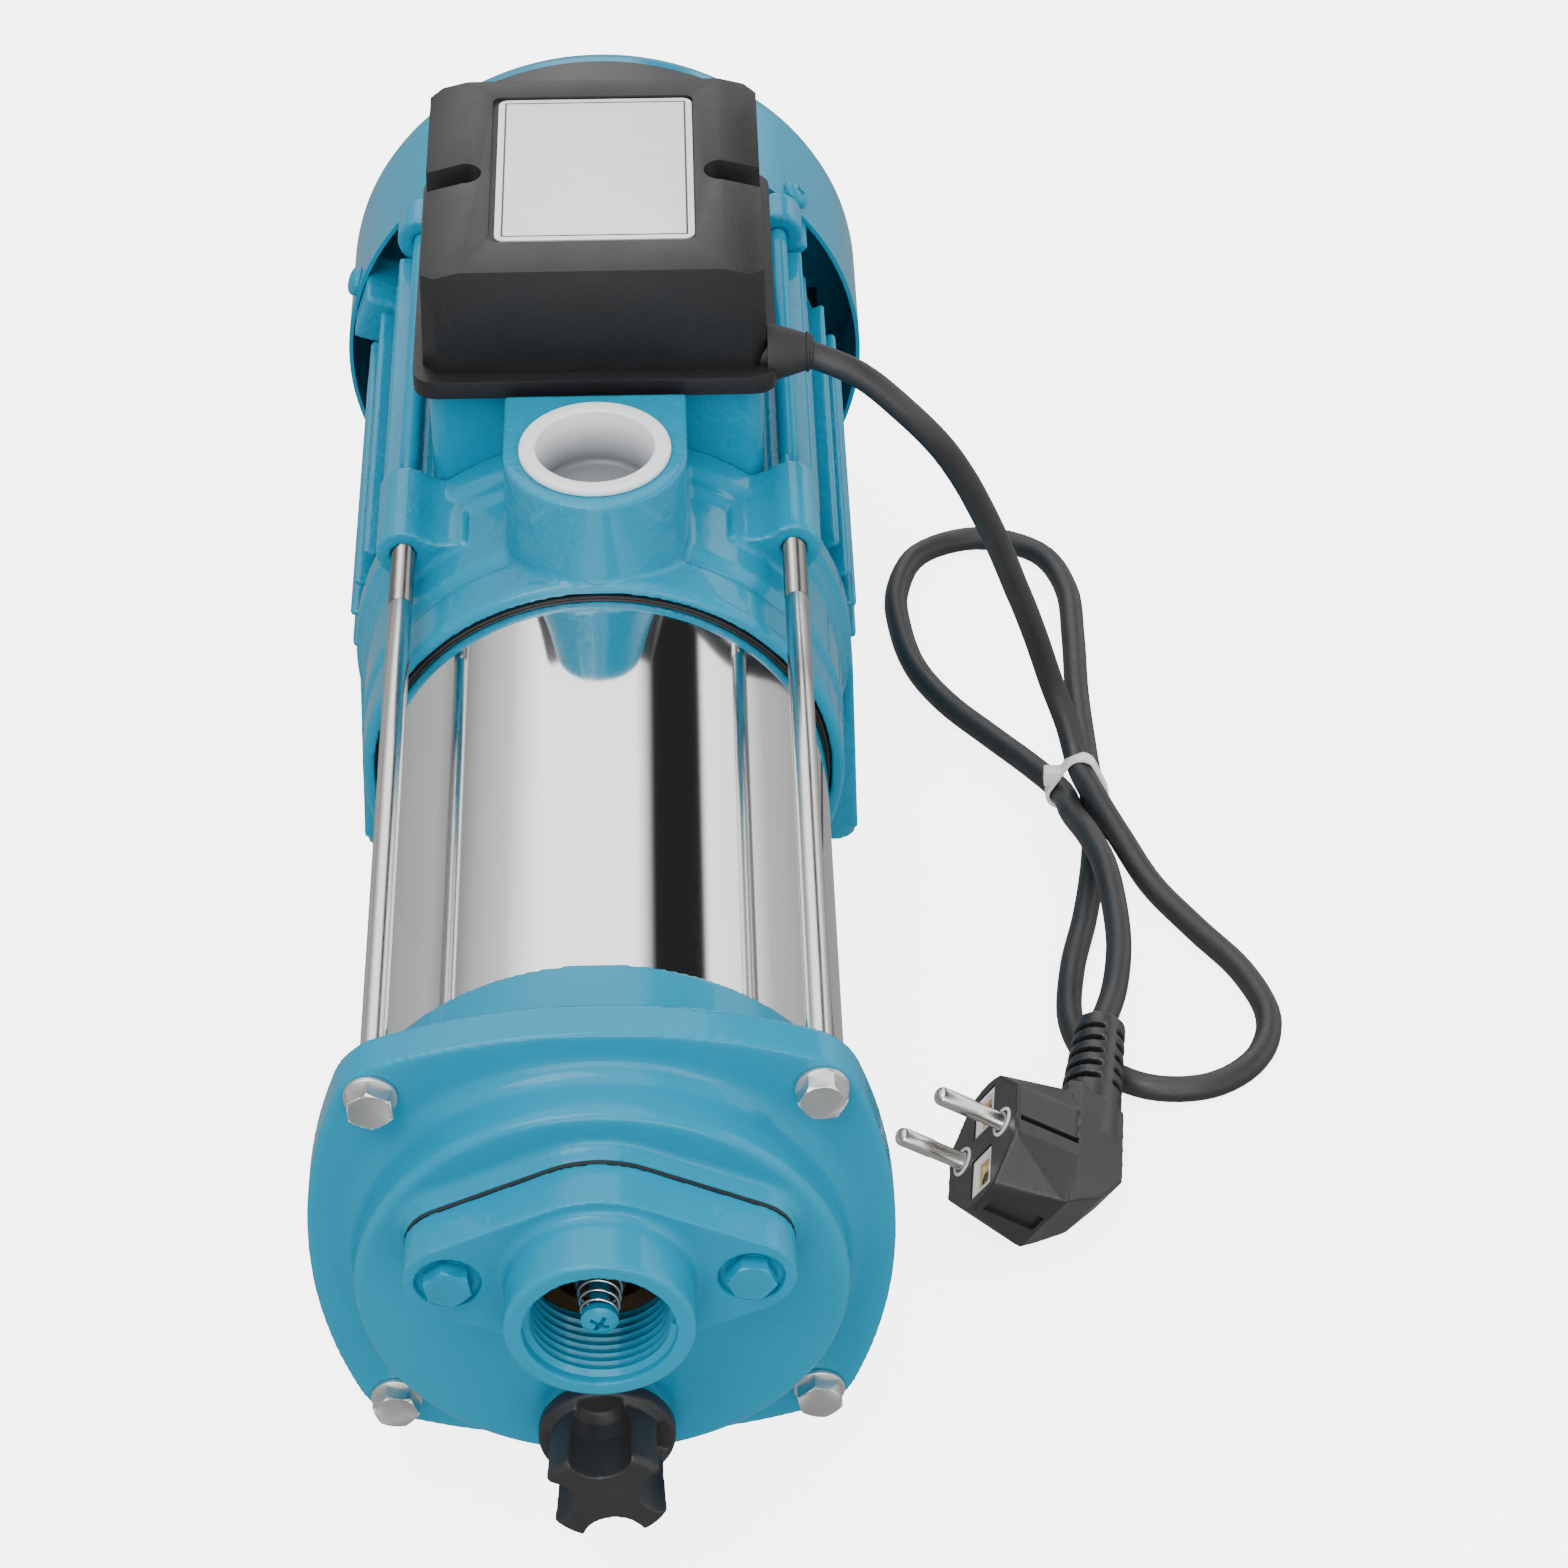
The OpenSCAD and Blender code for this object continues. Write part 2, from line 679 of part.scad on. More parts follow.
module drain_seal() color("dimgray")
    disc(y_skirt, y_drain, drain_seal_r, drain_r + run_play, [0, -drain_drop]);

module tie_bolts() color("silver") corners() {
    hexagon(y_flange - washer_t - hex_h, hex_h, hex_r);
    disc(y_flange - washer_t, y_ear + tie_depth, tie_r);
}
module tie_washers() color("silver") corners() disc(y_flange - washer_t, y_flange, washer_r, tie_r + thread_play);

module barrel() color("lightgray") disc(y_barrel, y_barrel_end, barrel_r, barrel_r - barrel_wall);
module barrel_seals() color("black") {
    disc(y_spigot - seal_len, y_spigot + seal_proud, barrel_r + seal_w, barrel_r);
    disc(y_dis - seal_proud, y_dis + seal_len, barrel_r + seal_w, barrel_r);
}

// Stage stack: an inlet plate, then one bowl and one impeller a stage
bowl_r = barrel_r - barrel_wall - bowl_gap;
wheel_r = bowl_r - wheel_gap;
module inlet_plate() color("dimgray") disc(y_barrel, y_stack, bowl_r, neck_r + face_gap);
module stage_bowls() color("darkgray") for (s = [0:stage_count - 1]) bowl(y_stack + s*stage_pitch);
module bowl(y0) {
    y_web = y0 + web_y_share*stage_pitch;
    in_r = bowl_r - bowl_wall;
    difference() {
        union() {
            disc(y0, y0 + stage_pitch, bowl_r, in_r);
            disc(y0, y0 + bowl_front_t, in_r + over, neck_r + face_gap);
            disc(y_web, y_web + web_t, in_r - web_flow_gap, hub_r + face_gap);
            intersection() {
                disc(y_web, y0 + stage_pitch, in_r + over, vane_in_r);
                vanes(y_web, y0 + stage_pitch, vane_count, vane_in_r, in_r, vane_t, -1);
            }
        }
        disc(y0 + stage_pitch - web_t/5, y0 + stage_pitch + over, in_r);
    }
}
// Curved blades: arcs that leave the inner radius and sweep out to the outer one
function blade(r0, r1, t, way) =
    let (c = (r1 - r0)/2 + r0, rr = (r1 - r0)*0.62, d = sqrt(rr*rr - pow((r1 - r0)/2, 2)),
         a = asin((r1 - r0)/2/rr))
    flat([arc([c, -way*d], rr + t/2, way*90 - a, way*90 + a, 8), arc([c, -way*d], rr - t/2, way*90 + a, way*90 - a, 8)]);
module vanes(y0, y1, count, r0, r1, t, way)
    for (i = [0:count - 1]) slab(y0, y1) rotate(360*i/count) polygon(blade(r0, r1, t, way));

module impellers() color("tan") for (s = [0:stage_count - 1]) impeller(y_stack + s*stage_pitch);
module impeller(y0) {
    y_front = y0 + neck_len_share*stage_pitch;
    difference() {
        union() {
            disc(y0 + face_gap, y_front + shroud_t, neck_r, neck_r - neck_wall);
            disc(y_front, y_front + shroud_t, wheel_r, neck_r - neck_wall);
            disc(y_front + shroud_t + channel_h, y_front + 2*shroud_t + channel_h, wheel_r);
            disc(y0, y0 + stage_pitch, hub_r);
            intersection() {
                disc(y_front, y_front + shroud_t + channel_h + over, wheel_r, blade_in_r - over);
                vanes(y_front, y_front + shroud_t + channel_h + over, blade_count, blade_in_r, wheel_r, blade_t, 1);
            }
        }
        disc(y0 - over, y0 + stage_pitch + over, shaft_pump_r);
    }
}
module impeller_nut() color("silver") difference() {
    hexagon(y_stack - nut_t, nut_t, nut_r);
    disc(y_stack - nut_t - over, y_stack + over, shaft_pump_r);
}

// Shaft stations
y_seal_web = y_dis + seal_web_y;
y_bearing = y_frame - bearing_w - bearing_set;
y_stator = y_frame + stator_back;
y_rear_bearing = y_frame_end + shield_t - rear_bearing_w - bearing_set/2;
y_fan = y_frame_end + shield_t + fan_back;
y_cover = y_frame_end + shield_t + cover_gap;
y_cover_end = y_cover + cover_len;
shaft_step = 0.5;
shaft_tail = 2;
y_rear_step = y_rear_bearing + rear_bearing_w + bearing_set/2;
module shaft() color("lightsteelblue") turned([[0, y_stack - nut_t - shaft_tail],
    [shaft_pump_r - shaft_step, y_stack - nut_t - shaft_tail],
    [shaft_pump_r, y_stack - nut_t - shaft_tail + shaft_step], [shaft_pump_r, y_stack_end],
    [shaft_seal_r, y_stack_end], [shaft_seal_r, y_bearing], [bearing_in_r, y_bearing],
    [bearing_in_r, y_bearing + bearing_w], [core_seat_r, y_bearing + bearing_w],
    [core_seat_r, y_rear_bearing], [rear_in_r, y_rear_bearing], [rear_in_r, y_rear_step],
    [fan_seat_r, y_rear_step], [fan_seat_r, y_fan + fan_blade_len - shaft_step],
    [fan_seat_r - shaft_step, y_fan + fan_blade_len], [0, y_fan + fan_blade_len]]);

module seal_seat() color("white")
    disc(y_seal_web - face_gap, y_seal_web - face_gap + seal_seat_t, seal_seat_r, shaft_seal_r + face_gap);
module seal_head() color("dimgray") {
    y_face = y_seal_web - 2*face_gap;
    turned([[shaft_seal_r, y_face], [seal_face_r, y_face], [seal_face_r, y_face - seal_face_t],
        [seal_head_r, y_face - seal_face_t], [seal_head_r, y_face - seal_face_t - bellows_t],
        [seal_face_r, y_face - seal_face_t - bellows_t], [seal_face_r, y_face - 2*seal_face_t - bellows_t],
        [seal_head_r, y_face - 2*seal_face_t - bellows_t], [seal_head_r, y_face - seal_head_len],
        [shaft_seal_r, y_face - seal_head_len]]);
}
module slinger() color("black") disc(y_bearing - slinger_t - face_gap, y_bearing - face_gap, slinger_r, shaft_seal_r);

// Discharge casting
y_ear = y_frame - ear_len;
y_outlet = y_dis + outlet_y;
module discharge_casting() color("deepskyblue") difference() {
    union() {
        turned(flat([[[0, y_dis]], arc([rim_r - rim_round, y_dis + rim_round], rim_round, -90, 0, 4),
            [[rim_r, y_dis + rim_len], [waist_r, y_dis + rim_len + rim_round],
             [waist_r, y_dis + rim_len + 2*rim_round], [body_r, y_dis + rim_len + 3*rim_round],
             [body_r, y_frame - 2*rear_flange_t], [step_r, y_frame - 2*rear_flange_t + rim_round],
             [step_r, y_frame - rear_flange_t - rim_round], [rear_flange_r, y_frame - rear_flange_t],
             [rear_flange_r, y_frame], [register_r, y_frame], [register_r, y_frame + register_len],
             [0, y_frame + register_len]]]));
        disc(y_stack_end, y_dis + over, bowl_r);
        corners() disc(y_ear, y_frame, ear_r);
        slab(y_ear, y_frame) for (q = [0:3]) rotate(90*q) polygon(ear_web(step_r));
        translate([0, y_outlet, axis_h + body_r - 2*outlet_r]) linear_extrude(height = outlet_rise - body_r + 2*outlet_r)
            polygon(flat([arc([0, 0], outlet_r, 180, 360, 32), [[outlet_r, outlet_back], [-outlet_r, outlet_back]]]));
    }
    disc(y_dis, y_barrel_end, barrel_r + thread_play, bowl_r);
    disc(y_dis - over, y_dis + seal_len, barrel_r + seal_w, barrel_r - over);
    disc(y_stack_end - over, y_seal_web, chamber_r - 2*rim_round);
    disc(y_seal_web - over, y_seal_web - face_gap + seal_seat_t, seal_seat_r);
    disc(y_seal_web, y_bearing, slinger_r);
    difference() {
        disc(y_seal_web + seal_web_t, y_frame + register_len + over, chamber_r);
        disc(y_seal_web, y_frame, bearing_hub_r);
        for (i = [0:hub_rib_count - 1]) slab(y_seal_web, y_frame - rear_flange_t/2) rotate(360*i/hub_rib_count)
            translate([0, -hub_rib_t/2]) square([chamber_r + over, hub_rib_t]);
    }
    disc(y_bearing - slinger_t - 2*face_gap - over, y_bearing, slinger_r + over);
    disc(y_bearing, y_frame + register_len + over, bearing_out_r);
    corners() {
        disc(y_ear - over, y_ear + tie_depth + over/2, tie_r + thread_play);
        disc(y_frame - stud_depth, y_frame + over, stud_r + thread_play);
    }
    translate([0, y_outlet, axis_h + outlet_rise - outlet_bore_len])
        cylinder(h = outlet_bore_len + over, r = port_r);
    translate([0, y_outlet - passage_shift, axis_h + chamber_r - 2*passage_r])
        cylinder(h = outlet_rise - outlet_bore_len + over - chamber_r + 2*passage_r, r = passage_r);
}
// A web that carries an ear, in the corner of the casting: hollow fillets run from the round body
// of radius r to the ear, each touching both circles
function ear_web(r) =
    let (c = r + ear_fillet, e = ear_r + ear_fillet, d = bolt_half*sqrt(2),
         th = acos((d*d + c*c - e*e)/(2*d*c)), m = c*[cos(45 - th), sin(45 - th)],
         to = atan2(bolt_half - m[1], bolt_half - m[0]), low = arc(m, ear_fillet, 225 - th, to, 5))
    flat([[[0, 0]], low, arc([bolt_half, bolt_half], ear_r, to - 180, 270 - to, 10),
        [for (i = [5:-1:0]) [low[i][1], low[i][0]]]]);

module outlet_cap() color("white") {
    top = axis_h + outlet_rise;
    translate([0, y_outlet, 0]) rotate_extrude() polygon(flat([[[0, top - cap_depth]],
        arc([port_r - run_play - rim_round, top - cap_depth + rim_round], rim_round, -90, 0, 4),
        [[port_r - run_play, top], [cap_flange_r, top]],
        arc([cap_flange_r - rim_round/2, top + cap_flange_t - rim_round/2], rim_round/2, 0, 90, 3),
        arc([port_r - run_play - cap_wall + rim_round/2, top + cap_flange_t - rim_round/2], rim_round/2, 90, 180, 3),
        [[port_r - run_play - cap_wall - rim_round/4, top - cap_depth + cap_floor], [0, top - cap_depth + cap_floor]]]));
}

// Ball bearings: rings with a round groove, and balls between them
module groove(y, path) translate([0, y, axis_h]) rotate([-90, 0, 0])
    rotate_extrude() translate([path, 0]) circle(r = ball_r + run_play, $fn = 48);
front_path = (bearing_in_r + bearing_out_r)/2;
rear_path = (rear_in_r + rear_out_r)/2;
front_wall = front_path - bearing_in_r - ball_r/2;
rear_wall = rear_path - rear_in_r - ball_r/2;
module race(y0, w, in_r, out_r, path) difference() {
    disc(y0, y0 + w, out_r, in_r);
    groove(y0 + w/2, path);
}
module front_bearing_outer() color("silver") race(y_bearing, bearing_w, bearing_out_r - front_wall, bearing_out_r, front_path);
module front_bearing_inner() color("silver") race(y_bearing, bearing_w, bearing_in_r, bearing_in_r + front_wall, front_path);
module rear_bearing_outer() color("silver") race(y_rear_bearing, rear_bearing_w, rear_out_r - rear_wall, rear_out_r, rear_path);
module rear_bearing_inner() color("silver") race(y_rear_bearing, rear_bearing_w, rear_in_r, rear_in_r + rear_wall, rear_path);
module bearing_balls() color("gray") for (i = [0:ball_count - 1]) {
    ball(y_bearing + bearing_w/2, front_path, 360*i/ball_count);
    ball(y_rear_bearing + rear_bearing_w/2, rear_path, 360*i/ball_count);
}
module ball(y, path, a) translate([path*cos(a), y, axis_h + path*sin(a)]) sphere(r = ball_r, $fn = 48);

// Motor frame: a finned tube with a pedestal for the terminal box
function rounded(w, l, r) = flat([arc([w/2 - r, l/2 - r], r, 0, 90, 5), arc([r - w/2, l/2 - r], r, 90, 180, 5),
    arc([r - w/2, r - l/2], r, 180, 270, 5), arc([w/2 - r, r - l/2], r, 270, 360, 5)]);
module motor_frame() color("deepskyblue") difference() {
    union() {
        disc(y_frame, y_frame_end, frame_r);
        slab(y_frame + fin_start, y_frame_end) for (m = [0, 1]) mirror([m, 0]) for (a = fin_angles)
            rotate(a) translate([frame_r - over, -fin_t/2]) square([fin_tip_r - frame_r + over, fin_t]);
        slab(y_frame + fin_inset, y_frame_end) for (m = [0, 1]) for (n = [0, 1]) mirror([m, 0]) mirror([0, n])
            translate([corner_out - 2*stud_pad, corner_top - 2*stud_pad]) square(2*stud_pad);
        translate([0, y_frame + pedestal_len/2, axis_h + pedestal_low])
            linear_extrude(height = pedestal_rise - pedestal_low)
                polygon(rounded(2*pedestal_half, pedestal_len, pedestal_round));
        slab(y_frame + foot_setback, y_frame + foot_setback + foot_len)
            translate([-pad_half, -frame_pad_drop]) square([2*pad_half, frame_pad_drop]);
    }
    disc(y_frame - over, y_frame_end + over, stator_r);
    disc(y_frame - over, y_frame + register_len, register_r);
    difference() {
        translate([0, y_frame + pedestal_len/2, axis_h + pedestal_low])
            linear_extrude(height = pedestal_rise - pedestal_low + over) polygon(rounded(
                2*(pedestal_half - pedestal_wall), pedestal_len - 2*pedestal_wall, pedestal_round/2));
        disc(y_frame, y_frame_end, frame_r);
    }
    translate([0, y_frame + lead_hole_back, axis_h]) cylinder(h = pedestal_rise, r = lead_hole_r);
    for (y = [-1, 1]) translate([0, y*foot_screw_y, axis_h - frame_pad_drop - over])
        cylinder(h = foot_screw_grip + over, r = foot_screw_r + thread_play);
}
stud_pad = 9;
foot_screw_grip = 9;

// Stator: a ring with closed slots, filled by the windings
slot_total = 24;
stator_slot_w = 4;
slot_root_gap = 7;
slot_root_r = stator_r - slot_root_gap;
module stator_slots() for (i = [0:slot_total - 1]) rotate(360*(i + 1/2)/slot_total)
    translate([winding_in_r, -stator_slot_w/2]) square([slot_root_r - winding_in_r, stator_slot_w]);
module stator_core() color("slategray") slab(y_stator, y_stator + stator_len) difference() {
    circle(r = stator_r);
    circle(r = rotor_r + air_gap);
    stator_slots();
}
module windings() color("chocolate") {
    slab(y_stator, y_stator + stator_len) stator_slots();
    for (e = [[y_stator - winding_len, y_stator], [y_stator + stator_len, y_stator + stator_len + winding_len]])
        turned(flat([arc([winding_in_r + winding_round, e[0] + winding_round], winding_round, 180, 270, 4),
            arc([winding_r - winding_round, e[0] + winding_round], winding_round, 270, 360, 4),
            arc([winding_r - winding_round, e[1] - winding_round], winding_round, 0, 90, 4),
            arc([winding_in_r + winding_round, e[1] - winding_round], winding_round, 90, 180, 4)]));
}
// Rotor: a core pressed on the shaft, with a short-circuit ring at each end
end_ring_t = 8;
end_ring_r = 27;
module rotor_core() color("slategray") {
    disc(y_stator, y_stator + stator_len, rotor_r, core_seat_r);
    disc(y_stator - end_ring_t, y_stator, end_ring_r, end_ring_r - end_ring_t);
    disc(y_stator + stator_len, y_stator + stator_len + end_ring_t, end_ring_r, end_ring_r - end_ring_t);
}

// Rear shield with ears for the studs and arms for the fan cover
shield_step = 2;
shield_r = frame_r + shield_step;
shield_ring_t = 2.5;
arm_len = 14;
lug_tip_r = cover_r - cover_t - face_gap;
module rear_shield() color("deepskyblue") difference() {
    union() {
        disc(y_frame_end, y_frame_end + shield_t, shield_r);
        disc(y_frame_end - shield_seat, y_frame_end + over, stator_r, stator_r - shield_ring_t);
        corners() disc(y_frame_end, y_frame_end + shield_t, ear_r);
        slab(y_frame_end, y_frame_end + shield_t) for (q = [0:3]) rotate(90*q) polygon(ear_web(shield_r));
        slab(y_frame_end + shield_seat, y_frame_end + shield_t + arm_len) for (a = screw_angles) rotate(a)
            translate([fan_r - over, -screw_lug_w/2]) square([lug_tip_r - fan_r + over, screw_lug_w]);
        slab(y_frame_end + shield_seat, y_frame_end + shield_t) for (a = screw_angles) rotate(a)
            translate([shield_hub_r, -screw_lug_w/2]) square([lug_tip_r - shield_hub_r, screw_lug_w]);
    }
    disc(y_frame_end - over, y_frame_end + shield_t - over/2, rear_out_r);
    disc(y_frame_end, y_frame_end + shield_t + over, rear_in_r + rear_wall);
    for (h = [0:hub_rib_count - 1]) disc(y_frame_end + shield_seat, y_frame_end + shield_t + over, vent_r, 0,
        vent_at*[cos(60*h), sin(60*h)]);
    corners() {
        disc(y_frame_end - over, y_frame_end + shield_t + over, stud_r + thread_play);
        disc(y_nut, y_nut + nut_h + stud_tail + nut_sink, nut_af_r + over/2);
    }
    for (a = screw_angles) translate([0, y_cover + cover_screw_back, axis_h]) rotate([0, 90 - a, 0])
        cylinder(h = lug_tip_r + over, r = cover_screw_r + thread_play);
}
vent_r = 8;
vent_at = 38;

module motor_studs() color("deepskyblue")
    corners() disc(y_frame - stud_depth + over/2, y_nut + nut_h + stud_tail, stud_r);
y_nut = y_frame_end + shield_t - nut_sink;
module stud_nuts() color("silver") corners() difference() {
    hexagon(y_nut, nut_h, nut_af_r);
    disc(y_nut - over, y_nut + nut_h + over, stud_r + thread_play);
}

// Cooling fan, its clip and its cover
module fan() color("black") difference() {
    union() {
        disc(y_fan, y_fan + fan_blade_len - fan_hub_cut, fan_hub_r);
        disc(y_fan, y_fan + fan_disc_t, fan_r - fan_hub_r);
        slab(y_fan, y_fan + fan_blade_len - fan_hub_cut) for (i = [0:fan_blades - 1]) rotate(360*i/fan_blades)
            translate([fan_hub_r - over, -fan_blade_t/2]) square([fan_r - fan_hub_r + over, fan_blade_t]);
    }
    disc(y_fan - over, y_fan + fan_blade_len + over, fan_seat_r);
}
fan_hub_cut = 3;
module fan_clip() color("silver")
    disc(y_fan + fan_blade_len - fan_hub_cut, y_fan + fan_blade_len - fan_hub_cut + clip_t, clip_r, fan_seat_r);
module fan_cover() color("deepskyblue") difference() {
    turned(flat([[[cover_r, y_cover]], arc([cover_r - cover_corner_r, y_cover_end - cover_corner_r],
        cover_corner_r, 0, 90, 8), [[0, y_cover_end], [0, y_cover_end - cover_t]],
        arc([cover_r - cover_corner_r, y_cover_end - cover_corner_r], cover_corner_r - cover_t, 90, 0, 8),
        [[cover_r - cover_t, y_cover]]]));
    slab(y_cover_end - 2*cover_t, y_cover_end + over) for (i = [0:slot_count - 1]) rotate(360*i/slot_count)
        translate([slot_in_r, -slot_w/2]) square([slot_out_r - slot_in_r, slot_w]);
    for (a = screw_angles) translate([0, y_cover + cover_screw_back, axis_h]) rotate([0, 90 - a, 0])
        cylinder(h = cover_r + over, r = cover_screw_r + thread_play);
}
module cover_screws() color("deepskyblue") for (a = screw_angles)
    translate([0, y_cover + cover_screw_back, axis_h]) rotate([0, 90 - a, 0]) {
        translate([0, 0, cover_r - cover_screw_len]) cylinder(h = cover_screw_len + over/2, r = cover_screw_r);
        translate([0, 0, cover_r]) cylinder(h = cover_screw_head_t, r1 = cover_screw_head_r,
            r2 = cover_screw_head_r*0.6);
    }

// Foot: a plate with low walls, bolted up to the pads of the motor frame
foot_plate = rounded(foot_w, foot_len, foot_corner_r);
foot_wall_x = foot_w/2 - foot_wall_t;
foot_clear_gap = 5.5;
foot_clear_r = fin_tip_r + foot_clear_gap;
module foot() color("deepskyblue") difference() {
    union() {
        linear_extrude(height = foot_t) polygon(foot_plate);
        for (m = [0, 1]) mirror([m, 0, 0]) intersection() {
            slab(-foot_len/2, foot_len/2) polygon([[foot_wall_x, foot_t/2 - axis_h], [foot_w/2, foot_t/2 - axis_h],
                [foot_w/2 - foot_top_inset, foot_top - axis_h], [foot_wall_x, foot_top - axis_h]]);
            rotate([90, 0, 90]) linear_extrude(height = foot_w) polygon([[-foot_len/2, 0], [foot_len/2, 0],
                [foot_len/2, foot_t], [foot_slope_share*foot_len/2, foot_top],
                [-foot_slope_share*foot_len/2, foot_top], [-foot_len/2, foot_t]]);
        }
        for (y = [-foot_len/2, foot_len/2 - foot_web_t]) difference() {
            translate([-foot_wall_x - over, y, foot_t/2])
                cube([2*foot_wall_x + 2*over, foot_web_t, foot_top - foot_t/2]);
            disc(-foot_len, foot_len, foot_clear_r);
            slab(-foot_len, foot_len) translate([-pad_half - over, -axis_h]) square([2*pad_half + 2*over, axis_h]);
            rotate([90, 0, 90]) translate([0, 0, -foot_w]) linear_extrude(height = 2*foot_w) for (k = [-1, 1])
                polygon([[k*foot_len/2 + k*over, foot_t], [k*foot_len/2, foot_t],
                    [k*foot_slope_share*foot_len/2, foot_top + over], [k*foot_len/2 + k*over, foot_top + over]]);
        }
        for (y = [-1, 1]) translate([0, y*foot_screw_y, foot_t/2])
            cylinder(h = axis_h - frame_pad_drop - foot_t/2, r = foot_pillar_r);
    }
    for (x = [-1, 1]) for (y = [-1, 1]) translate([x*foot_hole_x/2, y*foot_hole_y/2, -over])
        cylinder(h = foot_t + 2*over, r = foot_hole_r);
    for (y = [-1, 1]) translate([0, y*foot_screw_y, -over]) {
        cylinder(h = axis_h, r = foot_screw_r + thread_play);
        cylinder(h = over + foot_screw_head_h + over, r = foot_screw_head_r + face_gap);
    }
}
module foot_screws() color("silver") for (y = [-1, 1]) translate([0, y*foot_screw_y, over]) {
    cylinder(h = foot_screw_head_h, r = foot_screw_head_r);
    cylinder(h = axis_h - frame_pad_drop + foot_screw_grip - 2*over, r = foot_screw_r);
}

// Terminal box: a flanged base, a gasket and a cover with two screw notches
z_base = axis_h + pedestal_rise;
z_lid = z_base + base_t;
z_lid_top = z_lid + lid_h;
y_box = y_frame - box_front;
y_box_mid = y_box + box_len/2;
base_len = box_len + base_over_len;
y_base_mid = y_box - base_front + base_len/2;
module box_base() color("black") difference() {
    translate([0, y_base_mid, z_base]) linear_extrude(height = base_t)
        polygon(rounded(box_w + base_over_w, base_len, base_corner_r));
    translate([0, y_box_mid, z_base + box_wall]) linear_extrude(height = base_t)
        polygon(rounded(box_w - 2*base_rim, box_len - 2*base_rim, lid_corner));
    translate([0, y_frame + pedestal_len/2, z_base - over]) cylinder(h = base_t, r = lead_mouth_r);
    for (x = [-1, 1]) translate([x*notch_x, y_box + notch_y, z_base - over])
        cylinder(h = base_t, r = box_screw_r + thread_play);
    gland_hole();
    gland_axis(lid_half) cylinder(h = box_w, r = gland_r + thread_play);
}
base_rim = 5;
lead_mouth_r = 11;
module box_gasket() color("dimgray") translate([0, y_box_mid, z_base + box_wall]) difference() {
    linear_extrude(height = base_t - box_wall)
        polygon(rounded(box_w - 2*base_rim, box_len - 2*base_rim, lid_corner));
    translate([0, 0, -over]) linear_extrude(height = base_t + 2*over)
        polygon(rounded(box_w - 3*base_rim, box_len - 3*base_rim, lid_corner));
    translate([0, -y_box_mid, -z_base - box_wall]) gland_hole();
}
// The cover's front view: upright walls, a shallow slope, then a flat top
lid_half = box_w/2;
lid_section = [[-lid_half, 0], [lid_half, 0], [lid_half - lid_draft, lid_h - lid_bevel_h],
    [lid_half - lid_bevel_w, lid_h], [lid_bevel_w - lid_half, lid_h], [lid_draft - lid_half, lid_h - lid_bevel_h]];
module box_lid() color("black") difference() {
    intersection() {
        translate([0, 0, z_lid - axis_h]) slab(y_box, y_box + box_len) polygon(lid_section);
        translate([0, y_box_mid, z_lid]) linear_extrude(height = lid_h)
            polygon(chamfered(box_w, box_len, lid_corner));
    }
    difference() {
        translate([0, y_box_mid, z_lid - over]) linear_extrude(height = lid_h - box_wall - recess_depth + over)
            polygon(chamfered(box_w - 2*box_wall - 2*lid_draft, box_len - 2*box_wall, lid_corner));
        for (x = [-1, 1]) translate([x*notch_x, y_box + notch_y, z_lid - 2*over]) {
            cylinder(h = lid_h, r = notch_r + box_wall);
            translate([x > 0 ? 0 : -box_w/2, -notch_r - box_wall, 0])
                cube([box_w/2, 2*notch_r + 2*box_wall, lid_h]);
        }
    }
    translate([0, y_box + recess_y, z_lid_top - recess_depth]) linear_extrude(height = recess_depth + over)
        polygon(rounded(recess_w, recess_len, box_wall));
    for (x = [-1, 1]) translate([x*notch_x, y_box + notch_y, z_lid + notch_floor]) {
        cylinder(h = lid_h, r = notch_r);
        translate([x > 0 ? 0 : -box_w/2, -notch_r, 0]) cube([box_w/2, 2*notch_r, lid_h]);
    }
    for (x = [-1, 1]) translate([x*notch_x, y_box + notch_y, z_lid - 2*over])
        cylinder(h = lid_h, r = box_screw_r + thread_play);
    gland_hole();
}
function chamfered(w, l, c) = [[w/2, c - l/2], [w/2, l/2 - c], [w/2 - c, l/2], [c - w/2, l/2],
    [-w/2, l/2 - c], [-w/2, c - l/2], [c - w/2, -l/2], [w/2 - c, -l/2]];
module box_screws() color("silver") for (x = [-1, 1])
    translate([x*notch_x, y_box + notch_y, z_lid + notch_floor]) {
        cylinder(h = box_screw_head_h, r = box_screw_head_r);
        translate([0, 0, -notch_floor - base_t + over]) cylinder(h = notch_floor + base_t, r = box_screw_r);
    }
module capacitor() color("lightgray") translate([cap_can_x, y_box_mid - cap_can_len/2, z_lid + cap_can_r])
    rotate([-90, 0, 0]) {
        cylinder(h = cap_can_len, r = cap_can_r);
        for (k = [-1, 1]) translate([k*cap_can_r/2, 0, -tab_len]) cylinder(h = tab_len + over, r = tab_r);
    }
tab_len = 5;
tab_r = 1.2;
module terminal_block() color("white") translate([0, y_frame + pedestal_len/2 + lead_mouth_r + over, z_base + box_wall])
    difference() {
        cube([block_w/2, block_len, block_h]);
        for (i = [0:block_ways - 1])
            translate([block_w/2*(i + 1/2)/block_ways, block_len/2, block_h/2]) cylinder(h = block_h, r = tab_r);
    }
y_gland = y_box + gland_y;
z_gland = z_base + gland_up;
module gland_axis(x) translate([x, y_gland, z_gland]) rotate([0, 90, 0]) children();
module gland_hole() gland_axis(0) cylinder(h = box_w, r = gland_collar_r + thread_play);
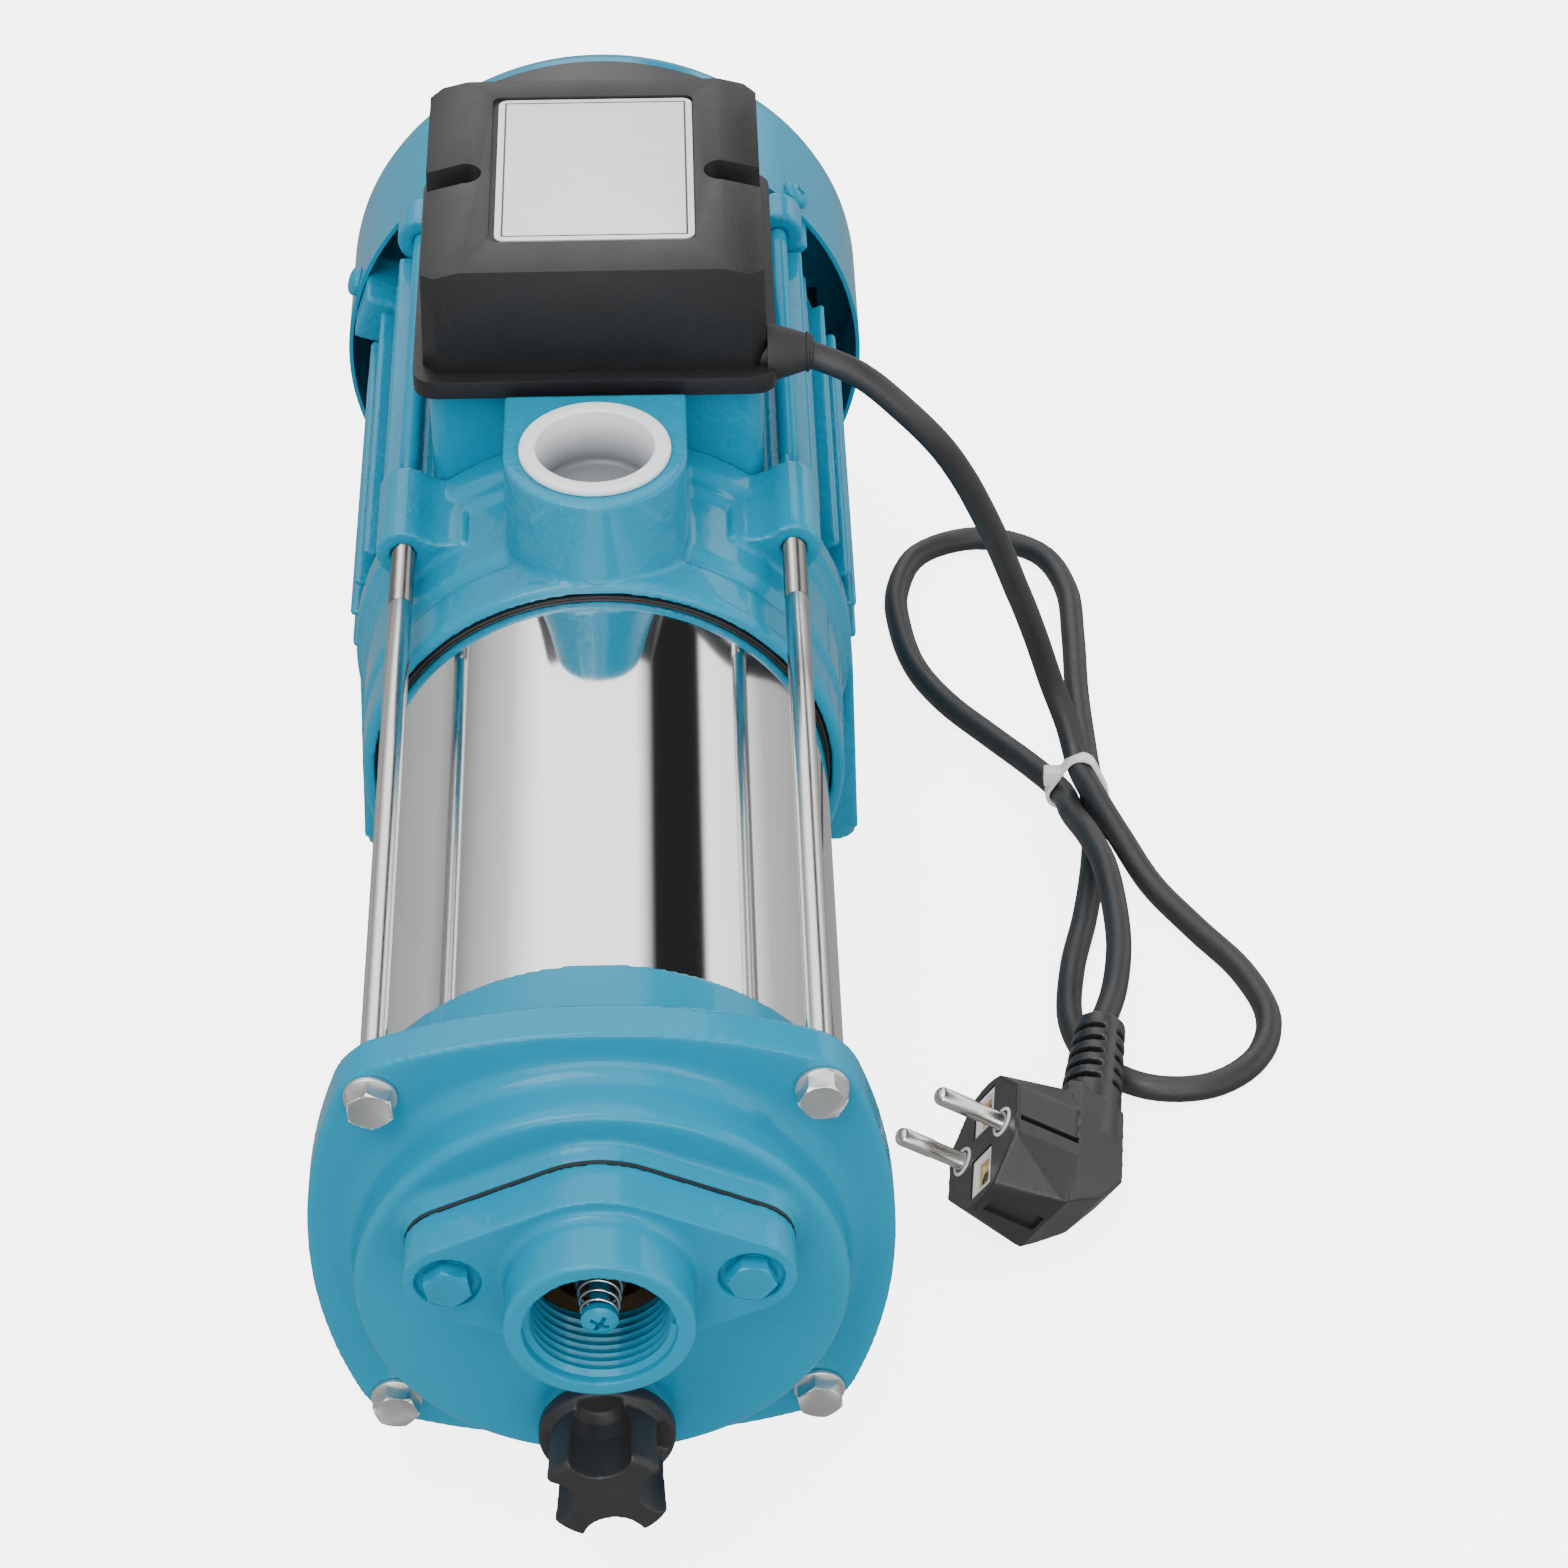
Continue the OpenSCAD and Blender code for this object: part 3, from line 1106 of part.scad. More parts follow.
module cable_gland() color("black") gland_axis(lid_half - gland_in) difference() {
    union() {
        cylinder(h = gland_in + over, r = gland_collar_r);
        translate([0, 0, gland_in]) cylinder(h = gland_len + gland_seat, r1 = gland_r, r2 = gland_tip_r);
    }
    translate([0, 0, -over]) cylinder(h = gland_in + over - gland_floor, r = cord_d/2 + thread_play);
    translate([0, 0, gland_in + gland_len + gland_seat - gland_floor]) cylinder(h = gland_len, r = cord_d/2 + thread_play);
}
gland_in = 8.4;
gland_seat = 2.6;
gland_floor = 2;

// Mains lead, one tube along its route
module power_cord() color("black") sweep(cord_points, cord_d/2, cord_sides);

tie_strands = [for (i = tie_points) [cord_route[i][0], cord_route[i][2]]];
tie_head_at = (tie_strands[0] + tie_strands[1] + tie_strands[2])/3 + tie_head_shift;
module cable_tie() color("white") translate([0, cord_route[tie_points[0]][1], 0]) rotate([90, 0, 0])
    linear_extrude(height = tie_band_w, center = true) difference() {
        union() {
            hull() for (c = tie_strands) translate(c) circle(r = cord_d/2 + tie_play + tie_band_t, $fn = 32);
            translate(tie_head_at) square([tie_head[0], tie_head[1]], center = true);
        }
        hull() for (c = tie_strands) translate(c) circle(r = cord_d/2 + tie_play, $fn = 32);
    }

// Mains plug: a round face, a body that narrows to the back and a slotted strain relief
function turn_x(v, a) = [v[0], v[1]*cos(a) - v[2]*sin(a), v[1]*sin(a) + v[2]*cos(a)];
function turn_y(v, a) = [v[0]*cos(a) + v[2]*sin(a), v[1], v[2]*cos(a) - v[0]*sin(a)];
function turn_z(v, a) = [v[0]*cos(a) - v[1]*sin(a), v[0]*sin(a) + v[1]*cos(a), v[2]];
function plug_turned(v) = turn_z(turn_y(turn_x(v, plug_turn[0]), plug_turn[1]), plug_turn[2]);
relief_way = [sin(relief_tilt), cos(relief_tilt), 0];
relief_axis = plug_turned(relief_way);
relief_end = plug_at + plug_turned([relief_x, relief_y, 0] + relief_len*relief_way);
gland_tip_x = lid_half + gland_len + gland_seat;
cord_points = concat([[gland_tip_x - gland_floor, y_gland, z_gland]], cord_route, [relief_end]);
module at_plug() translate(plug_at) rotate(plug_turn) children();
module plug_body() color("black") at_plug() difference() {
    union() {
        rotate([90, 0, 90]) linear_extrude(height = plug_rim_t) intersection() {
            circle(r = plug_r);
            rotate(45) translate([-plug_r, -plug_cut]) square([2*plug_r, 2*plug_cut]);
            square([2*plug_r, 2*plug_side], center = true);
        }
        translate([0, 0, -plug_r]) intersection() {
            linear_extrude(height = 2*plug_r) polygon([[plug_rim_t/2, plug_keel], [relief_x - relief_r, plug_shoulder],
                [plug_depth, plug_shoulder], [plug_depth, 0], [plug_keel_x, -plug_keel_y],
                [plug_rim_t, -plug_keel], [plug_rim_t/2, -plug_keel]]);
            translate([0, plug_shoulder, plug_r]) rotate([90, 0, 0]) linear_extrude(height = 2*plug_shoulder)
                polygon([[plug_rim_t/2, -plug_waist], [plug_waist_x, -plug_waist], [plug_depth, -plug_back_half],
                    [plug_depth, plug_back_half], [plug_waist_x, plug_waist], [plug_rim_t/2, plug_waist]]);
        }
        at_relief() translate([0, 0, -relief_r]) cylinder(h = relief_len + relief_r, r1 = relief_r, r2 = relief_tip_r);
    }
    for (k = [-1, 1]) translate([-over, 0, k*pin_pitch/2]) rotate([0, 90, 0]) {
        cylinder(h = over + pin_root, r = pin_r);
        cylinder(h = over + pin_collar_t, r = pin_collar_r);
    }
    at_relief() for (i = [0:relief_slots - 1]) translate([0, 0, relief_slot_y + i*relief_slot_pitch]) difference() {
        cylinder(h = relief_slot_w, r = 2*relief_r);
        translate([0, 0, -over]) cylinder(h = relief_slot_w + 2*over, r = relief_slot_core);
        cube([relief_strip, 4*relief_r, 4*relief_slot_w], center = true);
    }
    for (k = [-1, 1]) translate([-over, k > 0 ? earth_y - earth_in : -earth_y, -earth_w/2])
        cube([earth_len + over, earth_in, earth_w]);
}
module at_relief() translate([relief_x, relief_y, 0]) rotate([-90, 0, -relief_tilt]) children();
module plug_pins() color("silver") at_plug() for (k = [-1, 1]) translate([0, 0, k*pin_pitch/2]) {
    translate([-pin_len + pin_r, 0, 0]) rotate([0, 90, 0]) cylinder(h = pin_len - pin_r + pin_root, r = pin_r);
    translate([-pin_len, 0, 0]) rotate([0, 90, 0]) cylinder(h = pin_r, r1 = pin_r/2, r2 = pin_r);
    rotate([0, 90, 0]) cylinder(h = pin_collar_t, r = pin_collar_r);
}
module earth_contacts() color("gold") at_plug() for (k = [-1, 1]) {
    translate([over/2, k > 0 ? earth_y - earth_t : -earth_y, -earth_w/2])
        cube([earth_len - over/2, earth_t, earth_w]);
    translate([earth_len - earth_t, k > 0 ? earth_y - earth_in : -earth_y, -earth_w/2])
        cube([earth_t, earth_in, earth_w]);
}

front_casing();
suction_flange();
flange_gasket();
flange_bolts();
valve_seat();
valve_stem();
valve_disc();
valve_spring();
drain_plug();
drain_seal();
tie_bolts();
tie_washers();
barrel();
barrel_seals();
inlet_plate();
stage_bowls();
impellers();
impeller_nut();
shaft();
seal_head();
seal_seat();
slinger();
discharge_casting();
outlet_cap();
front_bearing_outer();
front_bearing_inner();
rear_bearing_outer();
rear_bearing_inner();
bearing_balls();
motor_frame();
stator_core();
windings();
rotor_core();
rear_shield();
motor_studs();
stud_nuts();
fan();
fan_clip();
fan_cover();
cover_screws();
foot();
foot_screws();
box_base();
box_gasket();
box_lid();
box_screws();
capacitor();
terminal_block();
cable_gland();
power_cord();
cable_tie();
plug_body();
plug_pins();
earth_contacts();
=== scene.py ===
import math

import bpy
from mathutils import Euler, Matrix, Vector


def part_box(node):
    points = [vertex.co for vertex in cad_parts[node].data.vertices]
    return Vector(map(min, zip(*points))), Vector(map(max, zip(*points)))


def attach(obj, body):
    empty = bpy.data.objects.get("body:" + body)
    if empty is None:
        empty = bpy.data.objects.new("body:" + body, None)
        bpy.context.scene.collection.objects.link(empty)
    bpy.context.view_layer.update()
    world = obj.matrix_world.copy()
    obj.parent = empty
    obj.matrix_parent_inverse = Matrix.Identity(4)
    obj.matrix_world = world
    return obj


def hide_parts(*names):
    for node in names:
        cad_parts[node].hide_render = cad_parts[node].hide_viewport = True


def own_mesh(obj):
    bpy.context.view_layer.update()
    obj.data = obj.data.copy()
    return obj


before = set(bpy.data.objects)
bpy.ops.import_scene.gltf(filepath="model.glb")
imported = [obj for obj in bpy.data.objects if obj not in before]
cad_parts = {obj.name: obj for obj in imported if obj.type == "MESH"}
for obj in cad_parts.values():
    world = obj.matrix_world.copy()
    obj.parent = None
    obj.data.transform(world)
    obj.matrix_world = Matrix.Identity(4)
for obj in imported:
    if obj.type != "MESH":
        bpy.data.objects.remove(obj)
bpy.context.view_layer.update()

# Camera. It stands 1.2 m from the pump, in front of the suction port and about 40 degrees above the
# floor, with a long lens, as solved from the photograph. The frame is 36 mm square.
pitch, yaw, roll = math.radians(40.766), math.radians(1.778), math.radians(-0.058)
right = Vector((math.cos(yaw), -math.sin(yaw), 0))
ahead = Vector((math.sin(yaw) * math.cos(pitch), math.cos(yaw) * math.cos(pitch), -math.sin(pitch)))
up = right.cross(ahead)
side = right * math.cos(roll) - up * math.sin(roll)
above = right * math.sin(roll) + up * math.cos(roll)
camera = bpy.data.cameras.new("camera")
camera.lens = 97.47
camera.sensor_width = 36
camera.clip_start = 0.05
camera.clip_end = 20
camera_object = bpy.data.objects.new("camera", camera)
bpy.context.scene.collection.objects.link(camera_object)
camera_object.rotation_euler = Matrix((side, above, -ahead)).transposed().to_euler()
camera_object.location = (0.0204, -0.9356, 0.7851)
bpy.context.scene.camera = camera_object


# Mains cord. A black rubber lead, 7 mm thick and 0.85 m long, that falls from the terminal box's
# gland to the floor, runs through two flat loops held by a tie, and ends in the plug's relief.
# It is extruded rubber: dull, faintly mottled, with fine dust in its skin.
class Wire:
    """An output socket of a material's nodes, with arithmetic, and a way to add any other node."""

    def __init__(self, tree, socket=None):
        self.tree, self.socket = tree, socket

    def node(self, kind, settings=None, inputs=None, output=0):
        made = self.tree.nodes.new("ShaderNode" + kind)
        for name, value in (settings or {}).items():
            if name == "stops":
                ramp = made.color_ramp
                while len(ramp.elements) < len(value):
                    ramp.elements.new(0.5)
                for element, (where, shade) in zip(ramp.elements, value):
                    element.position = where
                    element.color = (shade, shade, shade, 1)
            else:
                setattr(made, name, value)
        for name, value in (inputs or {}).items():
            if isinstance(value, Wire):
                self.tree.links.new(value.socket, made.inputs[name])
            else:
                made.inputs[name].default_value = value
        return Wire(self.tree, made.outputs[output])

    def math(self, operation, *values):
        return self.node("Math", {"operation": operation}, dict(enumerate(values)))

    def __add__(self, other):
        return self.math("ADD", self, other)

    __radd__ = __add__

    def __sub__(self, other):
        return self.math("SUBTRACT", self, other)

    def __rsub__(self, other):
        return self.math("SUBTRACT", other, self)

    def __mul__(self, other):
        return self.math("MULTIPLY", self, other)

    __rmul__ = __mul__

    def ramp(self, *stops):
        return self.node("ValToRGB", {"stops": stops}, {"Fac": self})

    def place(self):
        """The point's own place in the object's frame, in metres."""
        return self.node("TexCoord", output="Object")

    def axis(self, letter):
        return self.node("SeparateXYZ", None, {"Vector": self.place()}, letter)

    def noise(self, scale, detail=2.0, rough=0.5, stretch=None):
        place = self.place()
        if stretch:
            place = self.node("Mapping", None, {"Vector": place, "Scale": stretch})
        return self.node("TexNoise", None,
                         {"Vector": place, "Scale": scale, "Detail": detail, "Roughness": rough})

    def blend(self, factor, a, b):
        """One colour or wire that turns into another as the factor goes from 0 to 1."""
        mixed = self.node("Mix", {"data_type": "RGBA"}, {0: factor}, 2)
        for index, value in ((6, a), (7, b)):
            if isinstance(value, Wire):
                self.tree.links.new(value.socket, mixed.socket.node.inputs[index])
            else:
                mixed.socket.node.inputs[index].default_value = (*value, 1)
        return mixed

    def bump(self, height, distance, strength=1.0):
        return self.node("Bump", None, {"Height": height, "Strength": strength, "Distance": distance}, "Normal")


def material(name, **constants):
    """A material with one Principled shader: the material, a Wire to build on, and a feeder of inputs."""
    made = bpy.data.materials.new(name)
    made.use_nodes = True
    tree = made.node_tree
    shader = next(node for node in tree.nodes if node.type == "BSDF_PRINCIPLED")
    for key, value in constants.items():
        slot = shader.inputs[key.replace("_", " ")]
        slot.default_value = (*value, 1) if slot.type == "RGBA" else value

    def feed(**links):
        for key, value in links.items():
            tree.links.new(value.socket, shader.inputs[key.replace("_", " ")])

    return made, Wire(tree), feed


def dress(finish, *nodes):
    """Gives CAD nodes that stay in view their finish."""
    for node in nodes:
        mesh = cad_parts[node].data
        mesh.materials.clear()
        mesh.materials.append(finish)


def fit(piece, finish, nodes=(), body="pump"):
    """Gives a finished piece its material, its body and the CAD nodes that it stands for."""
    piece.data.materials.clear()
    piece.data.materials.append(finish)
    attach(piece, body)
    if nodes:
        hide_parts(*nodes)
    return piece


cord_rubber, wire, feed = material("cord_rubber", Specular_IOR_Level=0.45)
mottle = wire.noise(70, 4)
feed(Base_Color=wire.blend(mottle, (0.011, 0.011, 0.012), (0.026, 0.026, 0.027)),
     Roughness=0.36 + 0.24 * wire.noise(240, 3),
     Normal=wire.bump(wire.noise(1100, 2) + 0.4 * wire.noise(160, 2), 0.0002, 0.4))

route = [
    (0.0531, -0.0504, 0.166), (0.067, -0.0534, 0.1606), (0.0787, -0.056, 0.1508), (0.0879, -0.0557, 0.1395),
    (0.0944, -0.0528, 0.1269), (0.0993, -0.0481, 0.1139), (0.1035, -0.0425, 0.101), (0.1073, -0.0366, 0.088),
    (0.111, -0.0311, 0.0748), (0.115, -0.0263, 0.0614), (0.1191, -0.0234, 0.0475), (0.1233, -0.0234, 0.0336),
    (0.1279, -0.0279, 0.022), (0.131, -0.037, 0.0136), (0.1354, -0.049, 0.0112), (0.1408, -0.062, 0.0088),
    (0.148, -0.077, 0.0052), (0.1585, -0.093, 0.0035), (0.169, -0.11, 0.0035), (0.174, -0.128, 0.0035),
    (0.169, -0.1434, 0.0035), (0.156, -0.1529, 0.0035), (0.1396, -0.1529, 0.0035), (0.1265, -0.1434, 0.0035),
    (0.1215, -0.128, 0.0035), (0.1235, -0.108, 0.0035), (0.1285, -0.088, 0.0035), (0.132, -0.07, 0.0035),
    (0.134, -0.054, 0.004), (0.1347, -0.037, 0.00495), (0.1345, -0.018, 0.004), (0.1344, 0.008, 0.0035),
    (0.1354, 0.034, 0.0035), (0.1352, 0.057, 0.0035), (0.128, 0.075, 0.0035), (0.11, 0.0825, 0.0035),
    (0.0922, 0.075, 0.0035), (0.0848, 0.057, 0.0035), (0.0849, 0.039, 0.0035), (0.0885, 0.021, 0.0035),
    (0.0965, 0.005, 0.0035), (0.108, -0.01, 0.0035), (0.119, -0.0245, 0.004), (0.1264, -0.037, 0.005),
    (0.1279, -0.0508, 0.0093), (0.1309, -0.0652, 0.0142), (0.1338, -0.0804, 0.0169), (0.1351, -0.0962, 0.0168),
    (0.135, -0.1125, 0.0158), (0.1323, -0.1284, 0.0147), (0.12765, -0.14173, 0.01432)]


def strand(name, points, radius, steps, sides):
    """A round strand swept along one smooth curve through the points."""
    controls = [Vector(point) for point in points]
    controls = [2 * controls[0] - controls[1], *controls, 2 * controls[-1] - controls[-2]]
    line = []
    for a, b, c, d in zip(controls, controls[1:], controls[2:], controls[3:]):
        for step in range(steps):
            t = step / steps
            line.append(0.5 * (2 * b + (c - a) * t + (2 * a - 5 * b + 4 * c - d) * t ** 2
                               + (3 * b - a - 3 * c + d) * t ** 3))
    line.append(controls[-2])
    curve = bpy.data.curves.new(name, "CURVE")
    curve.dimensions = "3D"
    curve.bevel_depth = radius
    curve.bevel_resolution = sides
    curve.use_fill_caps = True
    spline = curve.splines.new("POLY")
    spline.points.add(len(line) - 1)
    for point, spot in zip(spline.points, line):
        point.co = (*spot, 1)
    spline.use_smooth = True
    piece = bpy.data.objects.new(name, curve)
    bpy.context.scene.collection.objects.link(piece)
    return piece


cord_r = 0.0035
cord = fit(strand("cord", route, cord_r, 6, 6), cord_rubber, ["power_cord"])


# Mains plug. An angled earthed plug moulded in black rubber-like plastic round its insert, with two
# nickel-plated pins in white collars, a sprung earth clip in each side window, and a slotted relief.
def pick(*pieces):
    """Selects only these pieces, with the last one active."""
    bpy.ops.object.select_all(action="DESELECT")
    for piece in pieces:
        piece.select_set(True)
    bpy.context.view_layer.objects.active = pieces[-1]


def modify(piece, kind, **settings):
    """Adds a modifier to a piece, sets it and applies it."""
    pick(piece)
    bpy.ops.object.modifier_add(type=kind)
    modifier = piece.modifiers[-1]
    for name, value in settings.items():
        setattr(modifier, name, value)
    bpy.ops.object.modifier_apply(modifier=modifier.name)
    return piece


def trim(piece, tool, operation="DIFFERENCE"):
    """Cuts a piece with another, or adds it, and takes the other away."""
    modify(piece, "BOOLEAN", object=tool, operation=operation, solver="EXACT")
    bpy.data.objects.remove(tool)
    return piece


def copied(name, node):
    """A new piece with a copy of a CAD node's mesh, its loose triangles merged."""
    piece = bpy.data.objects.new(name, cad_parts[node].data.copy())
    bpy.context.scene.collection.objects.link(piece)
    pick(piece)
    bpy.ops.mesh.customdata_custom_splitnormals_clear()
    bpy.ops.object.mode_set(mode="EDIT")
    bpy.ops.mesh.select_all(action="SELECT")
    bpy.ops.mesh.remove_doubles(threshold=1e-6)
    bpy.ops.object.mode_set(mode="OBJECT")
    return piece


def recast(piece, grain, passes, most=180000):
    """Remeshes a piece to an even grain and smooths its edges, as casting and moulding round them."""
    modify(piece, "REMESH", mode="VOXEL", voxel_size=grain * 1)
    modify(piece, "SMOOTH", factor=0.5, iterations=passes)
    triangles = 2 * len(piece.data.polygons)
    if triangles > most:
        modify(piece, "DECIMATE", ratio=most / triangles)
    bpy.ops.object.shade_smooth()
    return piece


def softened(piece, width, segments=3, limit=30):
    """Rounds a piece's edges by a small bevel."""
    pick(piece)
    bpy.ops.object.mode_set(mode="EDIT")
    bpy.ops.mesh.select_all(action="SELECT")
    bpy.ops.mesh.dissolve_limited(angle_limit=math.radians(1))
    bpy.ops.object.mode_set(mode="OBJECT")
    modify(piece, "BEVEL", width=width, segments=segments, limit_method="ANGLE",
           angle_limit=math.radians(limit), use_clamp_overlap=True, miter_outer="MITER_ARC")
    bpy.ops.object.shade_smooth_by_angle(angle=math.radians(35))
    return piece


def seat(piece, place):
    """Puts a piece that was made about the Z axis in its place, with its own origin left at the frame's."""
    pick(piece)
    piece.matrix_world = place
    bpy.ops.object.transform_apply(location=True, rotation=True, scale=True)
    return piece


def lathe(name, rings, sides=96, angle=35):
    """A turned piece about Z, from rings of (radius, height): closed on itself, or capped at its ends."""
    bpy.ops.object.select_all(action="DESELECT")
    bpy.ops.mesh.primitive_circle_add(vertices=sides, radius=rings[0][0], location=(0, 0, rings[0][1]))
    piece = bpy.context.object
    piece.name = name
    bpy.ops.object.transform_apply(location=True, rotation=True, scale=True)
    bpy.ops.object.mode_set(mode="EDIT")
    bpy.ops.mesh.select_all(action="SELECT")
    for (radius, height), (next_radius, next_height) in zip(rings, rings[1:]):
        bpy.ops.mesh.extrude_edges_move(TRANSFORM_OT_translate={"value": (0, 0, next_height - height)})
        wider = next_radius / radius
        bpy.ops.transform.resize(value=(wider, wider, 1), center_override=(0, 0, 0))
    bpy.ops.mesh.select_all(action="SELECT")
    bpy.ops.mesh.remove_doubles(threshold=1e-7)
    bpy.ops.mesh.fill_holes(sides=0)
    bpy.ops.mesh.normals_make_consistent(inside=False)
    bpy.ops.object.mode_set(mode="OBJECT")
    bpy.ops.object.shade_smooth_by_angle(angle=math.radians(angle))
    return piece


def round_edge(radius, height, r, start, end, steps=5):
    """Rings along a quarter round of radius r about (radius, height), between two angles."""
    angles = [math.radians(start + (end - start) * i / steps) for i in range(steps + 1)]
    return [(radius + r * math.cos(a), height + r * math.sin(a)) for a in angles]


def joined(name, *pieces):
    """Several solids of one part as one piece."""
    pick(*pieces)
    bpy.ops.object.join()
    pieces[-1].name = name
    return pieces[-1]


def block(size, centre, turn=(0, 0, 0)):
    """A tool for cutting: a block of a size at a centre."""
    bpy.ops.object.select_all(action="DESELECT")
    bpy.ops.mesh.primitive_cube_add(size=1, location=centre, rotation=turn, scale=size)
    tool = bpy.context.object
    bpy.ops.object.transform_apply(location=True, rotation=True, scale=True)
    return tool


plug_place = Matrix.Translation((0.0929, -0.1935, 0.0259)) @ Euler(
    (math.radians(6), math.radians(29.5), math.radians(-3.1))).to_matrix().to_4x4()
plug_face_r, plug_rim_t, plug_flat, plug_side = 0.0185, 0.0185, 0.0170, 0.0166
plug_keel, plug_waist, plug_seam = 0.0179, 0.0109, plug_rim_t - 0.0004
window_low, window_high, window_half, window_depth = 0.0034, 0.0158, 0.0047, 0.008
flank_slot, flank_slot_x, flank_slot_y = (0.0168, 0.0016, 0.0032), 0.0098, -0.0026
keel_groove, keel_groove_x, keel_groove_y = (0.0145, 0.0020, 0.0056), 0.0100, plug_keel + 0.0002
plug_moulding, wire, feed = material("plug_moulding", Specular_IOR_Level=0.5)
feed(Base_Color=wire.blend(wire.noise(50, 3), (0.012, 0.012, 0.013), (0.022, 0.022, 0.023)),
     Roughness=0.3 + 0.2 * wire.noise(200, 3),
     Normal=wire.bump(wire.noise(1500, 2), 0.00015, 0.35))
plug = copied("plug", "plug_body")
bpy.ops.object.mode_set(mode="EDIT")
bpy.ops.mesh.bisect(plane_co=plug_place @ Vector((plug_seam, 0, 0)),
                    plane_no=plug_place.to_3x3() @ Vector((1, 0, 0)), use_fill=True, clear_inner=True)
bpy.ops.object.mode_set(mode="OBJECT")
rim = seat(lathe("plug_rim", [(plug_face_r, 0.0002), (plug_face_r, plug_rim_t - 0.0002)], 96),
           Matrix.Rotation(math.radians(90), 4, "Y"))
trim(rim, block((0.06, 2 * plug_flat, 2 * plug_flat), (0, 0, 0), (math.radians(45), 0, 0)), "INTERSECT")
trim(rim, block((0.06, 0.06, 2 * plug_side), (0, 0, 0)), "INTERSECT")
back = block((0.0012, 2 * plug_keel, 2 * plug_waist), (plug_rim_t, 0, 0))
rim = joined("plug_rim", back, rim)
bpy.ops.object.mode_set(mode="EDIT")
bpy.ops.mesh.select_all(action="SELECT")
bpy.ops.mesh.convex_hull()
bpy.ops.object.mode_set(mode="OBJECT")
plug = recast(joined("plug", seat(rim, plug_place), plug), 0.00045, 3)
for way in (-1, 1):
    middle = way * (window_low + window_high) / 2
    for size, centre in (((2 * window_depth, window_high - window_low, 2 * window_half), (0, middle, 0)),
                         (flank_slot, (flank_slot_x, flank_slot_y, way * plug_side)),
                         (keel_groove, (keel_groove_x, way * keel_groove_y, 0))):
        trim(plug, seat(block(size, centre), plug_place))
bpy.ops.object.shade_smooth_by_angle(angle=math.radians(35))
fit(plug, plug_moulding, ["plug_body"])

nickel, wire, feed = material("bright_nickel", Metallic=1.0)
feed(Base_Color=wire.blend(wire.noise(180, 3), (0.58, 0.57, 0.55), (0.74, 0.73, 0.71)),
     Roughness=0.14 + 0.16 * wire.noise(260, 3),
     Normal=wire.bump(wire.noise(900, 2), 0.0001, 0.3))
pin_r, pin_len, pin_root, pin_half_pitch = 0.0024, 0.019, 0.006, 0.0095
neck_r, nose_r = pin_r * 0.93, 0.0019
along_x = Matrix.Rotation(math.radians(-90), 4, "Y")
pins = []
for way in (-1, 1):
    pin = lathe("pin", [
        (pin_r, -pin_root), (pin_r, 0.0004), (neck_r, 0.0009), (neck_r, 0.0086), (pin_r, 0.0092),
        *round_edge(pin_r - nose_r, pin_len - nose_r, nose_r, 0, 80, 7)], 48)
    pins.append(seat(pin, plug_place @ Matrix.Translation((0, 0, way * pin_half_pitch)) @ along_x))
fit(joined("plug_pin_pair", *pins), nickel, ["plug_pins"])

white_insert, wire, feed = material("white_insert")
feed(Base_Color=wire.blend(wire.noise(90, 2), (0.68, 0.68, 0.66), (0.8, 0.8, 0.78)),
     Roughness=0.34 + 0.14 * wire.noise(200, 2))
collar_bore, collar_r, collar_sunk, collar_proud, collar_bevel = 0.0031, 0.0039, -0.001, 0.0003, 0.0002
window_play, liner_wall = 0.0006, 0.0012
inserts = []
for way in (-1, 1):
    collar = lathe("collar", [
        (collar_bore, collar_sunk), (collar_r, collar_sunk), (collar_r, collar_proud - collar_bevel),
        (collar_r - collar_bevel, collar_proud), (collar_bore + collar_bevel, collar_proud),
        (collar_bore, collar_proud - collar_bevel), (collar_bore, collar_sunk)], 48)
    inserts.append(seat(collar, plug_place @ Matrix.Translation((0, 0, way * pin_half_pitch)) @ along_x))
    middle = way * (window_low + window_high) / 2
    length, width = window_high - window_low - window_play, 2 * window_half - window_play
    liner = block((window_depth - 0.001, length, width), (window_depth / 2, middle, 0))
    trim(liner, block((window_depth, length - 2 * liner_wall, width - 2 * liner_wall),
                      (window_depth / 2 - 0.001, middle, 0)))
    softened(liner, 0.00025, 2)
    inserts.append(seat(liner, plug_place))
fit(joined("plug_white_inserts", *inserts), white_insert)

brass, wire, feed = material("spring_brass", Metallic=1.0)
feed(Base_Color=wire.blend(wire.noise(120, 3), (0.52, 0.37, 0.14), (0.68, 0.50, 0.22)),
     Roughness=0.22 + 0.2 * wire.noise(300, 3), Normal=wire.bump(wire.noise(700, 2), 0.0001, 0.3))
leaf_t, leaf_sunk, leaf_bore, leaf_bore_out = 0.0006, 0.0019, 0.0018, 0.0012
clips = []
for way in (-1, 1):
    middle = way * (window_low + window_high) / 2
    leaf = block((leaf_t, window_high - window_low - 0.0034, 2 * window_half - 0.004), (leaf_sunk, middle, 0))
    bore = lathe("bore", [(leaf_bore, -0.01), (leaf_bore, 0.01)], 32)
    trim(leaf, seat(bore, Matrix.Translation((0, middle + way * leaf_bore_out, 0)) @ along_x))
    softened(leaf, 0.00012, 2)
    clips.append(seat(leaf, plug_place))
fit(joined("earth_clips", *clips), brass, ["earth_contacts"])


